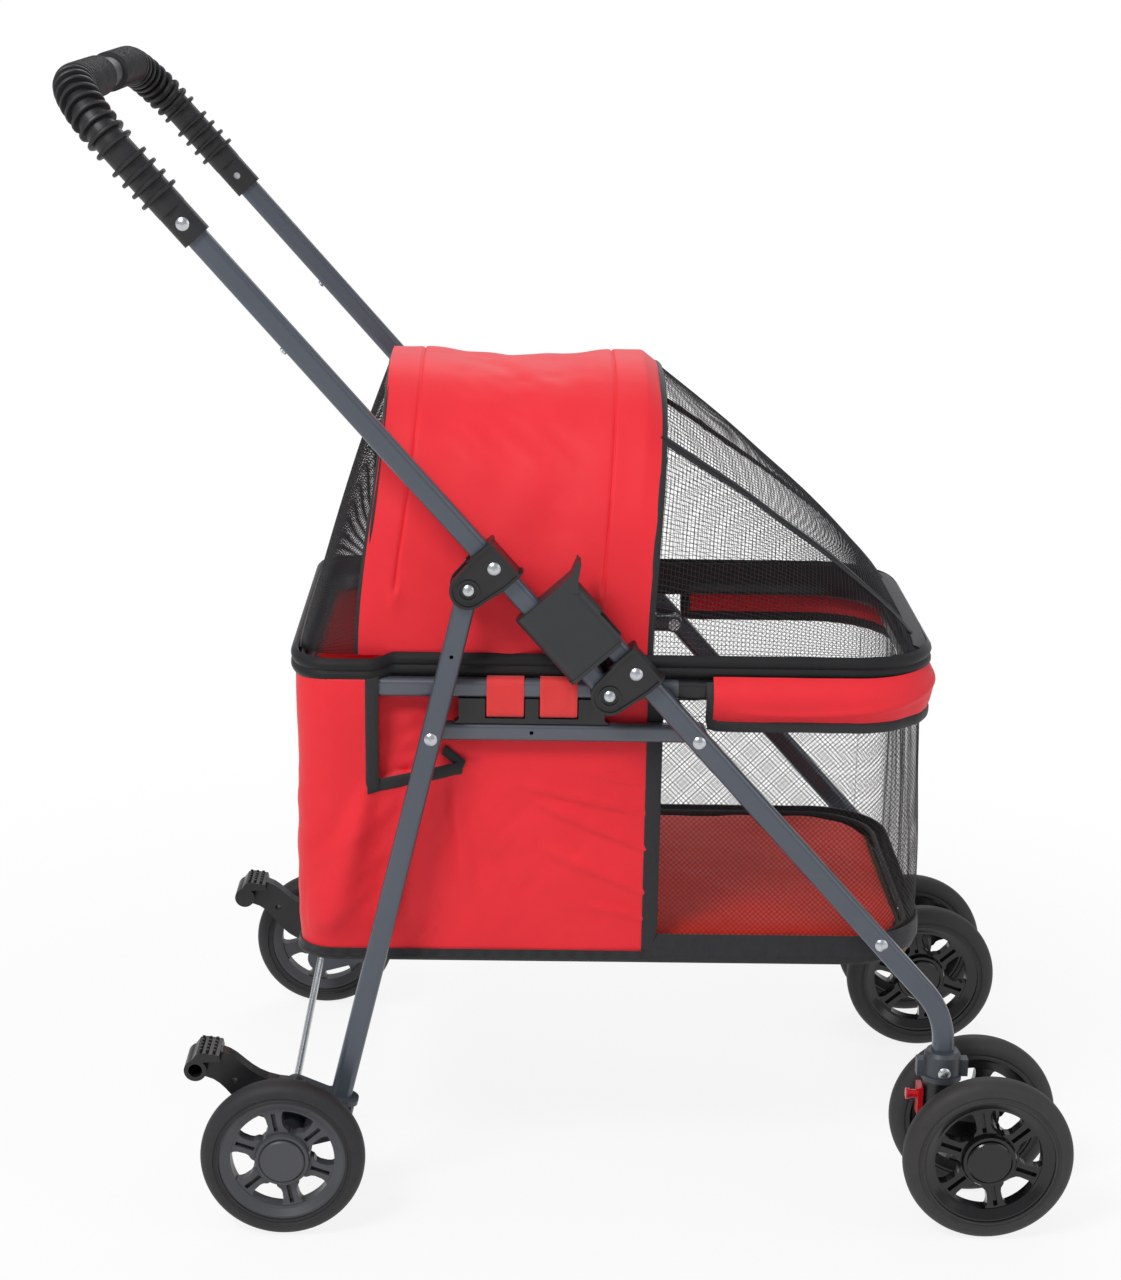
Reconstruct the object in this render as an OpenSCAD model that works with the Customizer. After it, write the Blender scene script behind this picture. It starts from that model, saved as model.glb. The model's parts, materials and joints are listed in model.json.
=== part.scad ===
// Folding pet stroller with a soft carrier, twin front casters and a sleeve-locked fold.
// Millimetres. +X is forward, +Y is the stroller's left side, +Z is up.
// The origin is on the floor, under the centre of the stroller's outline.

/* [Side frame] */
// Distance of the tubes' centre plane from the middle of the stroller
frame_y = 186; // [176:1:210]
// Slope of the push tube and the front leg above the floor, in degrees
frame_slope = 48; // [46:1:52]
// Distance of the main hinge in front of the rear axle
hinge_dx = 251; // [240:1:270]
// Height of the main hinge above the floor
hinge_z = 436.5; // [425:0.5:450]
// Distance of the front leg's centre line from the push tube's
leg_offset = 27; // [26:0.5:30]
// Length of the leg's stub above the main hinge
stub_len = 49; // [44:1:50]
// Distance of the rail's pivot down the leg from the main hinge
rail_pivot_down = 75; // [70:1:85]
// Distance of the caster's swivel axis in front of the rear axle
swivel_dx = 525; // [515:1:545]
// Radius of the bend at the foot of the front leg
leg_bend_r = 65; // [50:1:80]

/* [Tubes] */
// Tube width, seen from the side
tube_w = 17; // [16:0.5:18]
// Tube thickness, across the stroller
tube_t = 13; // [12:0.5:14]
// Corner radius of the tube
tube_r = 4.5; // [3:0.5:5.5]
// Wall of every frame tube
tube_wall = 1.4; // [1:0.1:1.8]
// Rail height
rail_w = 15; // [14:0.5:16]
// Rail thickness, across the stroller
rail_t = 12; // [11:0.5:12.5]
// Gap between the rail and the side tube
rail_gap = 7.5; // [7:0.5:9]
// Height of the upper rail's centre line above the lower rail's
rail_rise = 35; // [33:1:40]

/* [Handle] */
// Length from the main hinge to the crossbar's centre line
handle_len = 605; // [560:1:640]
// Length of the lower push tube, from the main hinge to the joint
push_len = 330; // [310:1:345]
// Radius of the handle's two corners
handle_bend_r = 58; // [45:1:70]
// Distance of the snap button above the joint
button_up = 30; // [24:1:40]
// Radius of the snap button
button_r = 3; // [2:0.5:3.5]
// How far the snap button stands out
button_out = 2.5; // [1.5:0.5:3]

/* [Grip] */
// Radius of the grip's core
grip_core_r = 12; // [11.5:0.5:13]
// Radius of the grip's ribs
grip_rib_r = 16; // [15:0.5:19]
// Distance between the ribs on the grip's arms
grip_pitch = 10.4; // [9:0.1:12]
// Distance between the ribs on the grip's bends
bend_pitch = 8.3; // [7:0.1:10]
// Distance between the finer ribs on the crossbar
fine_pitch = 5.2; // [4.6:0.1:6]
// Width of a rib at its edge
grip_rib_w = 3; // [2:0.1:4]
// Length of the smooth patch in the middle of the crossbar
grip_patch = 56; // [30:1:90]
// Length of the smooth cuff at each end
grip_cuff = 36; // [30:1:50]
// Distance of the cuff's lower end from the main hinge
grip_start = 463; // [440:1:480]

/* [Hinge brackets] */
// Distance of the upper bracket from the main hinge
bracket_up = 134; // [131:1:150]
// Offset of the rear leg's pivot from the push tube's centre line
lobe_offset = 26; // [25:0.5:28]
// Radius of the bracket's lobe
lobe_r = 14.5; // [13.5:0.5:15.5]
// Half of the bracket's length along the tube
bracket_half = 17.5; // [15:0.5:18]
// Thickness of the bracket's cheeks
cheek = 4.2; // [3.5:0.1:4.6]
// Height and width of the bracket's raised edge
bracket_lip = 1.8; // [1:0.1:2.2]
// Radius of every rivet and hinge pin
pin_r = 3; // [2.5:0.1:3.5]
// Radius of a rivet's head
rivet_head_r = 5.2; // [4.5:0.1:6]
// Height of a rivet's head
rivet_head_h = 2; // [1.5:0.1:3]

/* [Lock sleeve] */
// Length of the sleeve along the push tube
sleeve_len = 66; // [60:1:66]
// Distance of the sleeve's lower end above the main hinge
sleeve_low = 25; // [22:1:25]
// How far the sleeve slides up
sleeve_travel = 24; // [20:1:24]
// Thickness of the sleeve's walls
sleeve_wall = 4; // [3:0.1:4.5]
// How far the finger flange stands out
sleeve_flange = 12; // [8:1:14]

/* [Rear wheels] */
// Radius of the rear wheels
rear_r = 65; // [60:1:70]
// Width of the rear tyres
rear_tyre_w = 23; // [20:1:24]
// Distance of the rear wheels' middle from the side tubes' centre plane
rear_wheel_out = 44.5; // [43:0.5:52]
// Distance of the leg's foot in front of the rear axle
foot_dx = 38.5; // [34:0.5:44]
// Height of the leg's foot above the rear axle
foot_dz = 13; // [9:0.5:18]

/* [Front casters] */
// Radius of the front wheels
front_r = 68; // [62:1:72]
// Width of the front tyres
front_tyre_w = 23; // [20:1:24]
// Distance of a front wheel's middle from its caster's centre plane
front_wheel_out = 40.5; // [39:0.5:46]
// Distance of the front axle from the swivel axis
caster_trail = 34; // [26:1:40]
// Height of the collar's lower face above the floor
collar_z = 118; // [117:0.5:124]
// Height of the collar
collar_h = 24; // [20:1:28]
// Radius of the collar
collar_r = 14.5; // [13.5:0.5:15]
// Radius of the swivel spindle
spindle_r = 5; // [4:0.5:5.5]
// How far the caster lock slides
lock_travel = 6; // [4:0.5:6]

/* [Wheel form] */
// Radius of the rim's bead, as a part of the wheel's radius
rim_part = 0.77; // [0.72:0.01:0.8]
// Inner radius of the rim, as a part of the wheel's radius
window_part = 0.63; // [0.58:0.01:0.66]
// Number of twin-rib spokes
spokes = 6; // [5:1:7]
// Radius of the hub cap
cap_r = 17.5; // [16:0.5:18.5]
// Radius of the axles
axle_r = 4; // [3:0.5:5]

/* [Brake] */
// Distance of the brake rod in front of the rear axle
brake_rod_dx = 6; // [4:0.5:8]
// Height of the brake rod above the rear axle
brake_rod_dz = 36; // [35:0.5:40]
// Radius of the brake rod
brake_rod_r = 3; // [2.5:0.5:3.5]
// Distance of the pedal's roller behind the rod
pedal_reach = 77; // [70:1:85]
// Height of the pedal's roller above the rod
pedal_rise = 25; // [20:1:28]
// Width of the pedal's tread
pedal_w = 34; // [28:1:38]

/* [Carrier] */
// Distance of the carrier's back wall in front of the rear axle
body_rear_dx = 9; // [0:1:25]
// Length of the carrier
body_len = 497; // [470:1:505]
// Half of the carrier's width
body_half_w = 158; // [145:0.5:159]
// Radius of the carrier's back corners
body_rear_r = 28; // [20:1:40]
// Radius of the carrier's front corners
body_front_r = 62; // [50:1:80]
// Height of the carrier's underside above the floor
body_z = 203; // [195:1:210]
// Height of the carrier's top edge above the floor
body_top_z = 443.5; // [443:0.5:450]
// Distance from the back wall to the front window
window_dx = 280; // [265:1:290]
// Thickness of the fabric walls
wall = 2.5; // [2:0.1:4]
// Thickness of the rim band's outer skin
skin = 2.2; // [1.5:0.1:2.4]
// Distance from the back wall to the notch where the rear loop enters the carrier
notch_dx = 62; // [45:1:80]
// Distance from the rail pivot to the start of the front rim band
band_start = 6; // [4:1:30]
// Height of the black band round the base
base_band = 14; // [10:1:20]
// Thickness of the floor board
board_t = 4; // [3:0.5:6]
// Thickness of the floor pad
pad_t = 14; // [10:1:20]
// Height of the zip band between carrier and canopy
zip_h = 13; // [10:0.5:16]

/* [Canopy] */
// Distance from the back wall to the back edge of the canopy's roof
roof_dx = 55; // [48:1:70]
// Length of the canopy's roof
roof_len = 223; // [195:1:224]
// Height of the roof above the zip band
roof_rise = 213; // [200:1:230]
// Squareness of the roof's arch, where 2 is an ellipse
roof_power = 2.5; // [2.2:0.1:3]
// Height of the hood's edge at its foot
hood_edge = 6; // [5:1:12]
// Where the front door's side zips run, as an angle up the arch
door_angle = 50; // [40:1:60]
// Gap between the front door and the cheeks, as an angle of the arch
door_gap_angle = 1; // [0.5:0.1:2]
// Gap between the front door and the roof
door_gap = 1; // [0.8:0.1:2]
// Length of the hood's flat nose
nose_len = 11; // [8:1:16]
// Width of the net's coarse bars, as a part of one cell
net_bar = 0.24; // [0.16:0.01:0.4]

/* [Hidden] */

$fn = 48;
eps = 0.01;
lap = 0.5;           // how far a straight run laps over a bend
hair = 0.2;          // how much thicker a straight run is than a bend
$hair = hair;

// Clearances
pin_gap = 0.05;      // radial, round every hinge pin and axle
slide_gap = 0.3;     // between parts that move past each other
fork_neck = 34;       // from the collar down to the fork's crown
fork_hub_r = 15;
slot_gap = 2.1;      // round the leg's stub in the lock sleeve
fit_gap = 0.1;       // between parts that plug together

// Front-to-back places, measured from the rear axle
grip_back = hinge_dx - handle_len * cos(frame_slope) - grip_rib_r;
nose_front = swivel_dx + caster_trail + front_r;
axle_x = -(grip_back + nose_front) / 2;

// Main hinge, and unit vectors down the leg and square to it
hinge = [axle_x + hinge_dx, hinge_z];
down = [cos(frame_slope), -sin(frame_slope)];
square_up = [sin(frame_slope), cos(frame_slope)];
function from_hinge(a, b) = hinge + a * down + b * square_up;

rear_pivot = from_hinge(-bracket_up, -lobe_offset);
rail_pivot = from_hinge(rail_pivot_down, leg_offset);
rail_z = rail_pivot[1];
foot = [axle_x + foot_dx, rear_r + foot_dz];
rear_leg_slope = atan2(rear_pivot[1] - foot[1], rear_pivot[0] - foot[0]);
rail_back = [rear_pivot[0] - (rear_pivot[1] - rail_z) / tan(rear_leg_slope), rail_z];
upper_rail_z = rail_z + rail_rise;

// Front leg's bend
swivel_x = axle_x + swivel_dx;
bend_turn = 90 - frame_slope;
bend_tangent = leg_bend_r * tan(bend_turn / 2);
leg_to_bend = (swivel_x - hinge[0] - leg_offset * square_up[0]) / down[0];
bend_corner = from_hinge(leg_to_bend, leg_offset);
bend_end_z = bend_corner[1] - bend_tangent;

// Layers across the stroller
tube_out = frame_y + (tube_t + hair) / 2;
tube_in = frame_y - (tube_t + hair) / 2;
rail_y = tube_in - rail_gap - rail_t / 2;
cheek_out = tube_out + slide_gap;
cheek_in = tube_in - slide_gap;
rear_wheel_y = frame_y + rear_wheel_out;

// Carrier
body_rear = axle_x + body_rear_dx;
body_front = body_rear + body_len;
window_x = body_rear + window_dx;
rim_z0 = upper_rail_z - rail_w / 2 - 9;
loop_y = rail_y;
loop_out = loop_y + rail_t / 2;
loop_rear = body_rear + rail_t / 2 - 0.5;
loop_front = body_front - rail_t / 2 + 1;
loop_rear_r = 26;
loop_front_r = 62;
band_out = loop_out + fit_gap + skin;
notch_x = body_rear + notch_dx;
knuckle_x = rail_pivot[0] - 8;
knuckle_half = rail_w / 2 + 0.5;
band_x = rail_pivot[0] + band_start;
canopy_z = body_top_z + zip_h;
roof_x0 = body_rear + roof_dx;
roof_x1 = roof_x0 + roof_len;

// Combs that carry the upper rails: their first post, and each post's place and width
saddle_x = rail_back[0] + 21;
saddle_posts = [0, 51.5, 93];
post_w = [20.5, 10.5, 20.5];
saddle_foot = 4;

// The grip's cuff: its wall round the tube, and its rivet, from the main hinge
grip_wall = 3;
grip_rivet_x = -grip_start - grip_cuff * 0.4;

pedal_hub_r = 10.5;
spoke_turn = 41;     // of the first spoke, from straight ahead

// Longer than anything that is cut
beyond = 2 * handle_len;

/* ---- general helpers ---- */

// Puts children on one side of the stroller; they are drawn on the left side.
module on_side(side) {
    mirror([0, side < 0 ? 1 : 0, 0]) children();
}

// Moves to a point of the side plane and turns local +X to the given slope.
module at_point(p, slope = 0) {
    translate([p[0], 0, p[1]]) rotate([0, -slope, 0]) children();
}

// Stands a flat outline (x, z) up as a plate from y0 to y1.
module plate(y0, y1) {
    translate([0, y1, 0]) rotate([90, 0, 0]) linear_extrude(y1 - y0) children();
}

// A round bar along Y.
module bar_y(r, y0, y1) {
    translate([0, y1, 0]) rotate([90, 0, 0]) cylinder(r = r, h = y1 - y0);
}

// Rectangle with round corners, x wide and y high.
module round_rect(x, y, r) {
    square([x - 2 * r, y], center = true);
    square([x, y - 2 * r], center = true);
    for (i = [-1, 1], j = [-1, 1]) translate([i * (x / 2 - r), j * (y / 2 - r)]) circle(r);
}

// Section of a hollow tube, t across the stroller and w in the side plane.
module tube_ring(t, w, r, wall) {
    difference() {
        round_rect(t, w, r);
        round_rect(t - 2 * wall, w - 2 * wall, r - wall);
    }
}

// Extrudes a section (across, in plane) along local X.
module along_x(x0, x1) {
    translate([x0, 0, 0]) rotate([90, 0, 90]) linear_extrude(x1 - x0) children();
}

// Hinge pin or rivet along Y with a domed head at its outer end.
module rivet(y0, y1) {
    bar_y(pin_r, y0, y1);
    translate([0, y1, 0]) rotate([-90, 0, 0]) rivet_head();
}

// Low dome with a flat seat.
module rivet_head() {
    rotate_extrude() intersection() {
        translate([0, rivet_head_h - rivet_head_r * 1.4]) circle(rivet_head_r * 1.4);
        square([rivet_head_r, rivet_head_h]);
    }
}

/* ---- front frame ---- */

// Sweeps a section (across, in plane) along the front leg, with its ends lengthened by more.
// The straight runs are a hair thicker than the bend and lap over its ends.
module leg_path(more = 0) {
    at_point(hinge, -frame_slope) translate([0, frame_y, leg_offset])
        along_x(-stub_len - more, leg_to_bend - bend_tangent + lap) children();
    translate([swivel_x - leg_bend_r, frame_y, bend_end_z]) rotate([90, 0, 0])
        rotate_extrude(angle = bend_turn) translate([leg_bend_r, 0]) rotate(90) {
            $hair = 0;
            children();
        }
    translate([swivel_x, frame_y, collar_z + collar_h / 2 - more]) rotate(90)
        linear_extrude(bend_end_z - collar_z - collar_h / 2 + more + lap) children();
}

// Section of a frame tube, inset by d.
module tube_section(d = 0) {
    round_rect(tube_t - 2 * d + $hair, tube_w - 2 * d + $hair, tube_r - d);
}

// Front leg: stub, straight run, bend, and a short upright that enters the collar.
module front_leg(side) {
    color("slategray") on_side(side) difference() {
        leg_path() tube_section();
        leg_path(1) tube_section(tube_wall);
        for (a = [0, rail_pivot_down]) at_point(from_hinge(a, leg_offset))
            bar_y(pin_r + pin_gap, tube_in - 1, tube_out + 1);
    }
}

// Outline of a hinge bracket, inset by d: a round lobe that runs up to the tube.
// Local x is along the tube, local y is square to it, with the lobe at the origin.
module bracket_outline(reach, d = 0) {
    circle(lobe_r - d);
    polygon([
        [-lobe_r + d, 0], [lobe_r - d, 0],
        [bracket_half - d, reach * 0.62], [bracket_half - d, reach - d],
        [-bracket_half + d, reach - d], [-bracket_half + d, reach * 0.62]
    ]);
}

// Moulded hinge bracket that is riveted round one tube at height offset and
// holds a second tube between its cheeks at the lobe.
module hinge_bracket(offset) {
    reach = offset + tube_w / 2 + cheek * 0.8;
    difference() {
        union() {
            plate(cheek_in - cheek, cheek_out + cheek) bracket_outline(reach);
            // raised edge of the outer cheek
            plate(cheek_out + cheek, cheek_out + cheek + bracket_lip) difference() {
                bracket_outline(reach);
                bracket_outline(reach, bracket_lip * 1.2);
            }
            // collars at both ends of the saddle
            for (x = [-1, 1]) translate([x * (bracket_half - bracket_lip / 2), 0, 0])
                along_x(-bracket_lip / 2, bracket_lip / 2) translate([frame_y, offset])
                round_rect(tube_t + 2 * (cheek + bracket_lip), tube_w + 2 * (cheek + bracket_lip), tube_r + cheek);
            // raised ring round the pivot
            plate(cheek_out + cheek, cheek_out + cheek + bracket_lip) difference() {
                circle(rivet_head_r + 3.4);
                circle(rivet_head_r + 1.6);
            }
        }
        // room for the tube that swings
        plate(cheek_in, cheek_out) translate([-beyond / 2, -beyond])
            square([beyond, beyond + offset - tube_w / 2 - slide_gap]);
        // seat of the tube that is riveted in
        along_x(-beyond, beyond) translate([frame_y, offset]) tube_section();
        for (z = [0, offset]) translate([0, 0, z]) bar_y(pin_r + (z > 0 ? 0 : pin_gap), 0, beyond);
        // relief inside the saddle's inner face, clear of the rail
        translate([-beyond / 2, 0, -beyond / 2]) cube([beyond, cheek_in - cheek, beyond]);
    }
}

module lower_bracket(side) {
    color("#1b1b1d") on_side(side) at_point(hinge, -frame_slope) hinge_bracket(leg_offset);
}

// Collar at the foot of the leg, with two side lugs and the swivel's bore.
module caster_collar(side) {
    lug = 6;
    color("#4d5157") on_side(side) translate([swivel_x, frame_y, collar_z]) difference() {
        union() {
            cylinder(r = collar_r, h = collar_h - 3);
            translate([0, 0, collar_h - 3]) cylinder(r1 = collar_r, r2 = collar_r - 2, h = 3, $fn = 64);
            translate([-collar_r - lug, -5, 3]) cube([2 * (collar_r + lug), 10, collar_h - 10]);
            cylinder(r = collar_r + 1.5, h = 4);
        }
        translate([0, 0, collar_h / 2]) rotate(90) linear_extrude(collar_h) tube_section();
        translate([0, 0, -1]) cylinder(r = spindle_r + pin_gap, h = collar_h / 2);
    }
}

// Rivets and hinge pins that the front frame carries.
module front_frame_rivets() {
    color("silver") for (side = [-1, 1]) on_side(side) {
        // bracket rivet, through both cheeks and the leg
        at_point(from_hinge(0, leg_offset)) rivet(cheek_in - cheek, cheek_out + cheek);
        // main hinge pin
        at_point(hinge) rivet(cheek_in - cheek, cheek_out + cheek);
        // rail pivot: pin, spacer between leg and rail, and inner head
        at_point(rail_pivot) {
            rivet(rail_y - rail_t / 2 - slide_gap, tube_out);
            bar_y(pin_r * 2.2, rail_y + rail_t / 2 + slide_gap, tube_in);
            bar_y(rivet_head_r, rail_y - rail_t / 2 - slide_gap - 1.5, rail_y - rail_t / 2 - slide_gap);
        }
        // screw heads that close the leg's lower end and the collar
        at_point(from_hinge(rail_pivot_down + 223, leg_offset)) translate([0, tube_out, 0])
            rotate([-90, 0, 0]) rivet_head();
        translate([swivel_x, frame_y + collar_r, collar_z + collar_h / 2 - 3]) rotate([-90, 0, 0]) rivet_head();
    }
}

/* ---- handle ---- */

// Lower push tube: a round end on the hinge pin and a reduced neck at the joint.
module push_tube(side) {
    neck_t = tube_t - 2 * (tube_wall + fit_gap);
    neck_w = tube_w - 2 * (tube_wall + fit_gap);
    color("slategray") on_side(side) at_point(hinge, -frame_slope) difference() {
        union() {
            translate([0, frame_y, 0]) {
                along_x(-push_len, 0) tube_ring(tube_t, tube_w, tube_r, tube_wall);
                along_x(-push_len - button_up - 20, -push_len + 10)
                    tube_ring(neck_t, neck_w, tube_r - tube_wall, tube_wall);
                // the step where the tube is drawn down to the neck
                along_x(-push_len + 1, -push_len + 9)
                    tube_ring(tube_t - tube_wall, tube_w - tube_wall, tube_r - tube_wall / 2, tube_wall);
            }
            plate(tube_in, tube_out) circle(tube_w / 2);
        }
        bar_y(pin_r + pin_gap, tube_in - 1, tube_out + 1);
        translate([-bracket_up, 0, 0]) bar_y(pin_r, tube_in - 1, tube_out + 1);
        translate([-push_len - button_up, frame_y, -tube_w]) cylinder(r = button_r + pin_gap, h = tube_w);
    }
}

// Follows the handle's path with a section (across, in plane), drawn at x0 to the crossbar.
module handle_path(x0) {
    for (side = [-1, 1]) on_side(side) {
        translate([0, frame_y, 0]) along_x(-handle_len + handle_bend_r, x0) children();
        translate([-handle_len + handle_bend_r, frame_y - handle_bend_r, 0]) rotate(90)
            rotate_extrude(angle = 90) translate([handle_bend_r, 0]) children();
    }
    translate([-handle_len, frame_y - handle_bend_r, 0]) rotate([90, 0, 0])
        linear_extrude(2 * (frame_y - handle_bend_r)) children();
}

// Upper handle: one tube bent to a U, pushed over the necks of the push tubes.
module handle_bar() {
    color("slategray") at_point(hinge, -frame_slope) difference() {
        handle_path(-push_len) tube_ring(tube_t, tube_w, tube_r, tube_wall);
        for (side = [-1, 1]) on_side(side) {
            translate([-push_len - button_up, frame_y, -tube_w]) cylinder(r = button_r + pin_gap, h = tube_w);
            translate([grip_rivet_x, 0, 0]) bar_y(pin_r, tube_in - 1, tube_out + 1);
        }
    }
}

// One rib of the grip, a ring on the local Z axis whose bevelled flanks run into the core.
module grip_rib(w) {
    root = grip_core_r - 1.5;
    rotate_extrude() polygon([
        [root, -w * 0.7], [grip_rib_r - w / 4, -w / 2], [grip_rib_r, -w / 4],
        [grip_rib_r, w / 4], [grip_rib_r - w / 4, w / 2], [root, w * 0.7]
    ]);
}

// Section of the grip: the given outline with the tube's room in it.
module round_tube() {
    difference() {
        children();
        round_rect(tube_t + 2 * fit_gap, tube_w + 2 * fit_gap, tube_r + fit_gap);
    }
}

// Rubber grip: fat ribs on the arms and the bends, fine ones on the crossbar, a smooth cuff
// at each end and a smooth patch in the middle.
module handle_grip() {
    arm = handle_len - handle_bend_r - grip_start - grip_cuff;
    arm_ribs = floor(arm / grip_pitch);
    bend_ribs = floor(handle_bend_r * PI / 2 / bend_pitch);
    bar_ribs = floor((frame_y - handle_bend_r - grip_patch / 2) / fine_pitch);
    fine_w = grip_rib_w * fine_pitch / bend_pitch;
    color("#141414") at_point(hinge, -frame_slope) {
        handle_path(-grip_start - grip_cuff * 0.75) round_tube() circle(grip_core_r);
        for (side = [-1, 1]) on_side(side) {
            difference() {
                translate([0, frame_y, 0]) along_x(-grip_start - grip_cuff, -grip_start)
                    round_tube() round_rect(tube_t + 2 * grip_wall, tube_w + 2 * grip_wall, tube_r + grip_wall);
                translate([grip_rivet_x, 0, 0]) bar_y(pin_r, 0, beyond);
            }
            for (i = [0 : arm_ribs - 1])
                translate([-grip_start - grip_cuff - (i + 0.5) * grip_pitch, frame_y, 0])
                    rotate([0, 90, 0]) grip_rib(grip_rib_w);
            translate([-handle_len + handle_bend_r, frame_y - handle_bend_r, 0])
                for (i = [0 : bend_ribs - 1]) rotate(90 + 90 * (i + 0.5) / bend_ribs)
                    translate([handle_bend_r, 0, 0]) rotate([90, 0, 0]) grip_rib(grip_rib_w);
            for (i = [0 : bar_ribs - 1])
                translate([-handle_len, frame_y - handle_bend_r - (i + 0.5) * fine_pitch, 0])
                    rotate([90, 0, 0]) grip_rib(fine_w);
        }
    }
}

// Rivets and hinge pins that the handle carries.
module handle_rivets() {
    color("silver") for (side = [-1, 1]) on_side(side) {
        at_point(from_hinge(grip_rivet_x, 0)) rivet(tube_in, frame_y + tube_t / 2 + grip_wall);
        at_point(from_hinge(-bracket_up, 0)) rivet(cheek_in - cheek, cheek_out + cheek);
        at_point(rear_pivot) rivet(cheek_in - cheek, cheek_out + cheek);
    }
}

module upper_bracket(side) {
    color("#1b1b1d") on_side(side) at_point(rear_pivot, -frame_slope) hinge_bracket(lobe_offset);
}

// Sliding lock: wraps the push tube and the leg's stub, with a finger flange on top.
// Its front wall stops above the stub, so the stub lies in an open slot.
module lock_sleeve(side) {
    back = -tube_w / 2 - slide_gap - sleeve_wall * 1.8;
    front = leg_offset + tube_w / 2 + slide_gap + sleeve_wall;
    y0 = tube_in - slide_gap - sleeve_wall;
    y1 = tube_out + slide_gap + sleeve_wall;
    top = -sleeve_low - sleeve_len;
    color("#2a2b2d") on_side(side) at_point(hinge, -frame_slope) difference() {
        union() {
            along_x(top, -sleeve_low) translate([(y0 + y1) / 2, (back + front) / 2])
                round_rect(y1 - y0, front - back, tube_r + sleeve_wall);
            // finger flange, swept up over the front wall
            plate(y0, y1) polygon([
                [top, front - 18], [top - 0.1, front], [top - 6, front + sleeve_flange],
                [top - 2, front + sleeve_flange], [top + 8, front], [top + 14, front - 4]
            ]);
            // lower lip round the mouth
            along_x(-sleeve_low - 3, -sleeve_low) translate([(y0 + y1) / 2, (back + front) / 2])
                round_rect(y1 - y0 + 1.6, front - back + 1.6, tube_r + sleeve_wall + 0.8);
        }
        // running bore on the push tube
        translate([0, frame_y, 0]) along_x(-beyond, beyond)
            round_rect(tube_t + 2 * fit_gap, tube_w + 2 * fit_gap, tube_r + fit_gap);
        // slot for the stub, open to the front below the stub's tip
        plate(tube_in - slot_gap, tube_out + slot_gap)
            translate([-stub_len - 2.4 * slot_gap, leg_offset - tube_w / 2 - slot_gap]) square([beyond, beyond]);
        // slanted lower front corner, clear of the bracket
        plate(0, beyond) polygon([
            [-sleeve_low - 9, front + 3], [-sleeve_low + 1, front - 8], [-sleeve_low + 1, front + 3]
        ]);
    }
}

// Sprung button through the joint of the handle, on the tube's underside.
module snap_button(side) {
    color("silver") on_side(side) at_point(from_hinge(-push_len - button_up, 0), -frame_slope)
        translate([0, frame_y, 0]) rotate([180, 0, 0]) {
            cylinder(r = button_r, h = tube_w / 2 + button_out - button_r * 0.3);
            translate([0, 0, tube_w / 2 + button_out - button_r * 0.3])
                rotate_extrude() intersection() {
                    translate([0, -button_r * 1.52]) circle(button_r * 1.82);
                    square(button_r);
                }
        }
}

/* ---- rear frame ---- */

module rear_leg(side) {
    leg_len = norm(rear_pivot - foot);
    color("slategray") on_side(side) at_point(rear_pivot, rear_leg_slope) difference() {
        union() {
            translate([0, frame_y, 0]) along_x(-leg_len, 0) tube_ring(tube_t, tube_w, tube_r, tube_wall);
            plate(tube_in, tube_out) circle(tube_w / 2);
        }
        bar_y(pin_r + pin_gap, tube_in - 1, tube_out + 1);
        translate([-norm(rear_pivot - rail_back), 0, 0]) bar_y(pin_r, tube_in - 1, tube_out + 1);
        // empty screw hole in the outer face
        translate([-55, 0, 0]) bar_y(1.6, frame_y, tube_out + 1);
    }
}

// Moulded foot: a socket on the leg, a boss on the axle and a plate up to the brake rod.
module wheel_housing(side) {
    shell = 4;
    inner = tube_in - shell;
    plate_out = tube_in + 3;
    outer = rear_wheel_y - rear_tyre_w / 2 - 2.5;
    boss_r = axle_r + 9;
    lug_r = brake_rod_r + 6;
    rod = [brake_rod_dx, brake_rod_dz];
    leg_at = [foot_dx, foot_dz];
    color("#3c3f44") on_side(side) at_point([axle_x, rear_r]) difference() {
        union() {
            plate(inner, outer) circle(boss_r);
            // plate beside the pedal, from the boss to the rod and the leg
            plate(inner, plate_out) {
                translate(rod) circle(lug_r);
                polygon([[-boss_r, 0], [boss_r, 0], rod + [lug_r, 0], rod - [lug_r, 0]]);
                polygon([[0, -boss_r], leg_at + [4, -15], leg_at + [13, 14], rod + [2, lug_r], rod]);
            }
            // web that carries the leg
            plate(inner, tube_out + shell - 1) polygon([
                [2, -boss_r], leg_at + [4, -15], leg_at + [13, -2], leg_at + [13, 12],
                rod + [pedal_hub_r + 3, -10], [boss_r - 1, 3]
            ]);
            // socket round the leg's foot, with a flange at its mouth
            at_point(leg_at, rear_leg_slope) translate([0, frame_y, 0]) {
                along_x(-6, 20) round_rect(tube_t + 2 * shell, tube_w + 2 * shell, tube_r + shell);
                along_x(16, 20) round_rect(tube_t + 3 * shell, tube_w + 3 * shell, tube_r + shell + 2);
            }
        }
        at_point(leg_at, rear_leg_slope) translate([0, frame_y, 0]) along_x(0, beyond)
            round_rect(tube_t, tube_w, tube_r);
        bar_y(axle_r, tube_in - 1, beyond);
        at_point(rod) bar_y(brake_rod_r + pin_gap, 0, beyond);
        // room for the pedal's hub
        plate(plate_out, beyond) translate(rod) circle(pedal_hub_r + 1.5);
    }
}

module rear_axles() {
    color("silver") for (side = [-1, 1]) on_side(side) at_point([axle_x, rear_r])
        bar_y(axle_r, tube_in - 1, rear_wheel_y + rear_tyre_w / 2 - 5);
}

// Rivets at the rear end of the rails; each stops short of the rail, with a head on the leg.
module rear_leg_rivets() {
    color("silver") for (side = [-1, 1]) on_side(side) at_point(rail_back) {
        rivet(tube_in, tube_out);
        bar_y(pin_r * 2.2, rail_y + rail_t / 2 + slide_gap, tube_in);
    }
}

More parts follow.
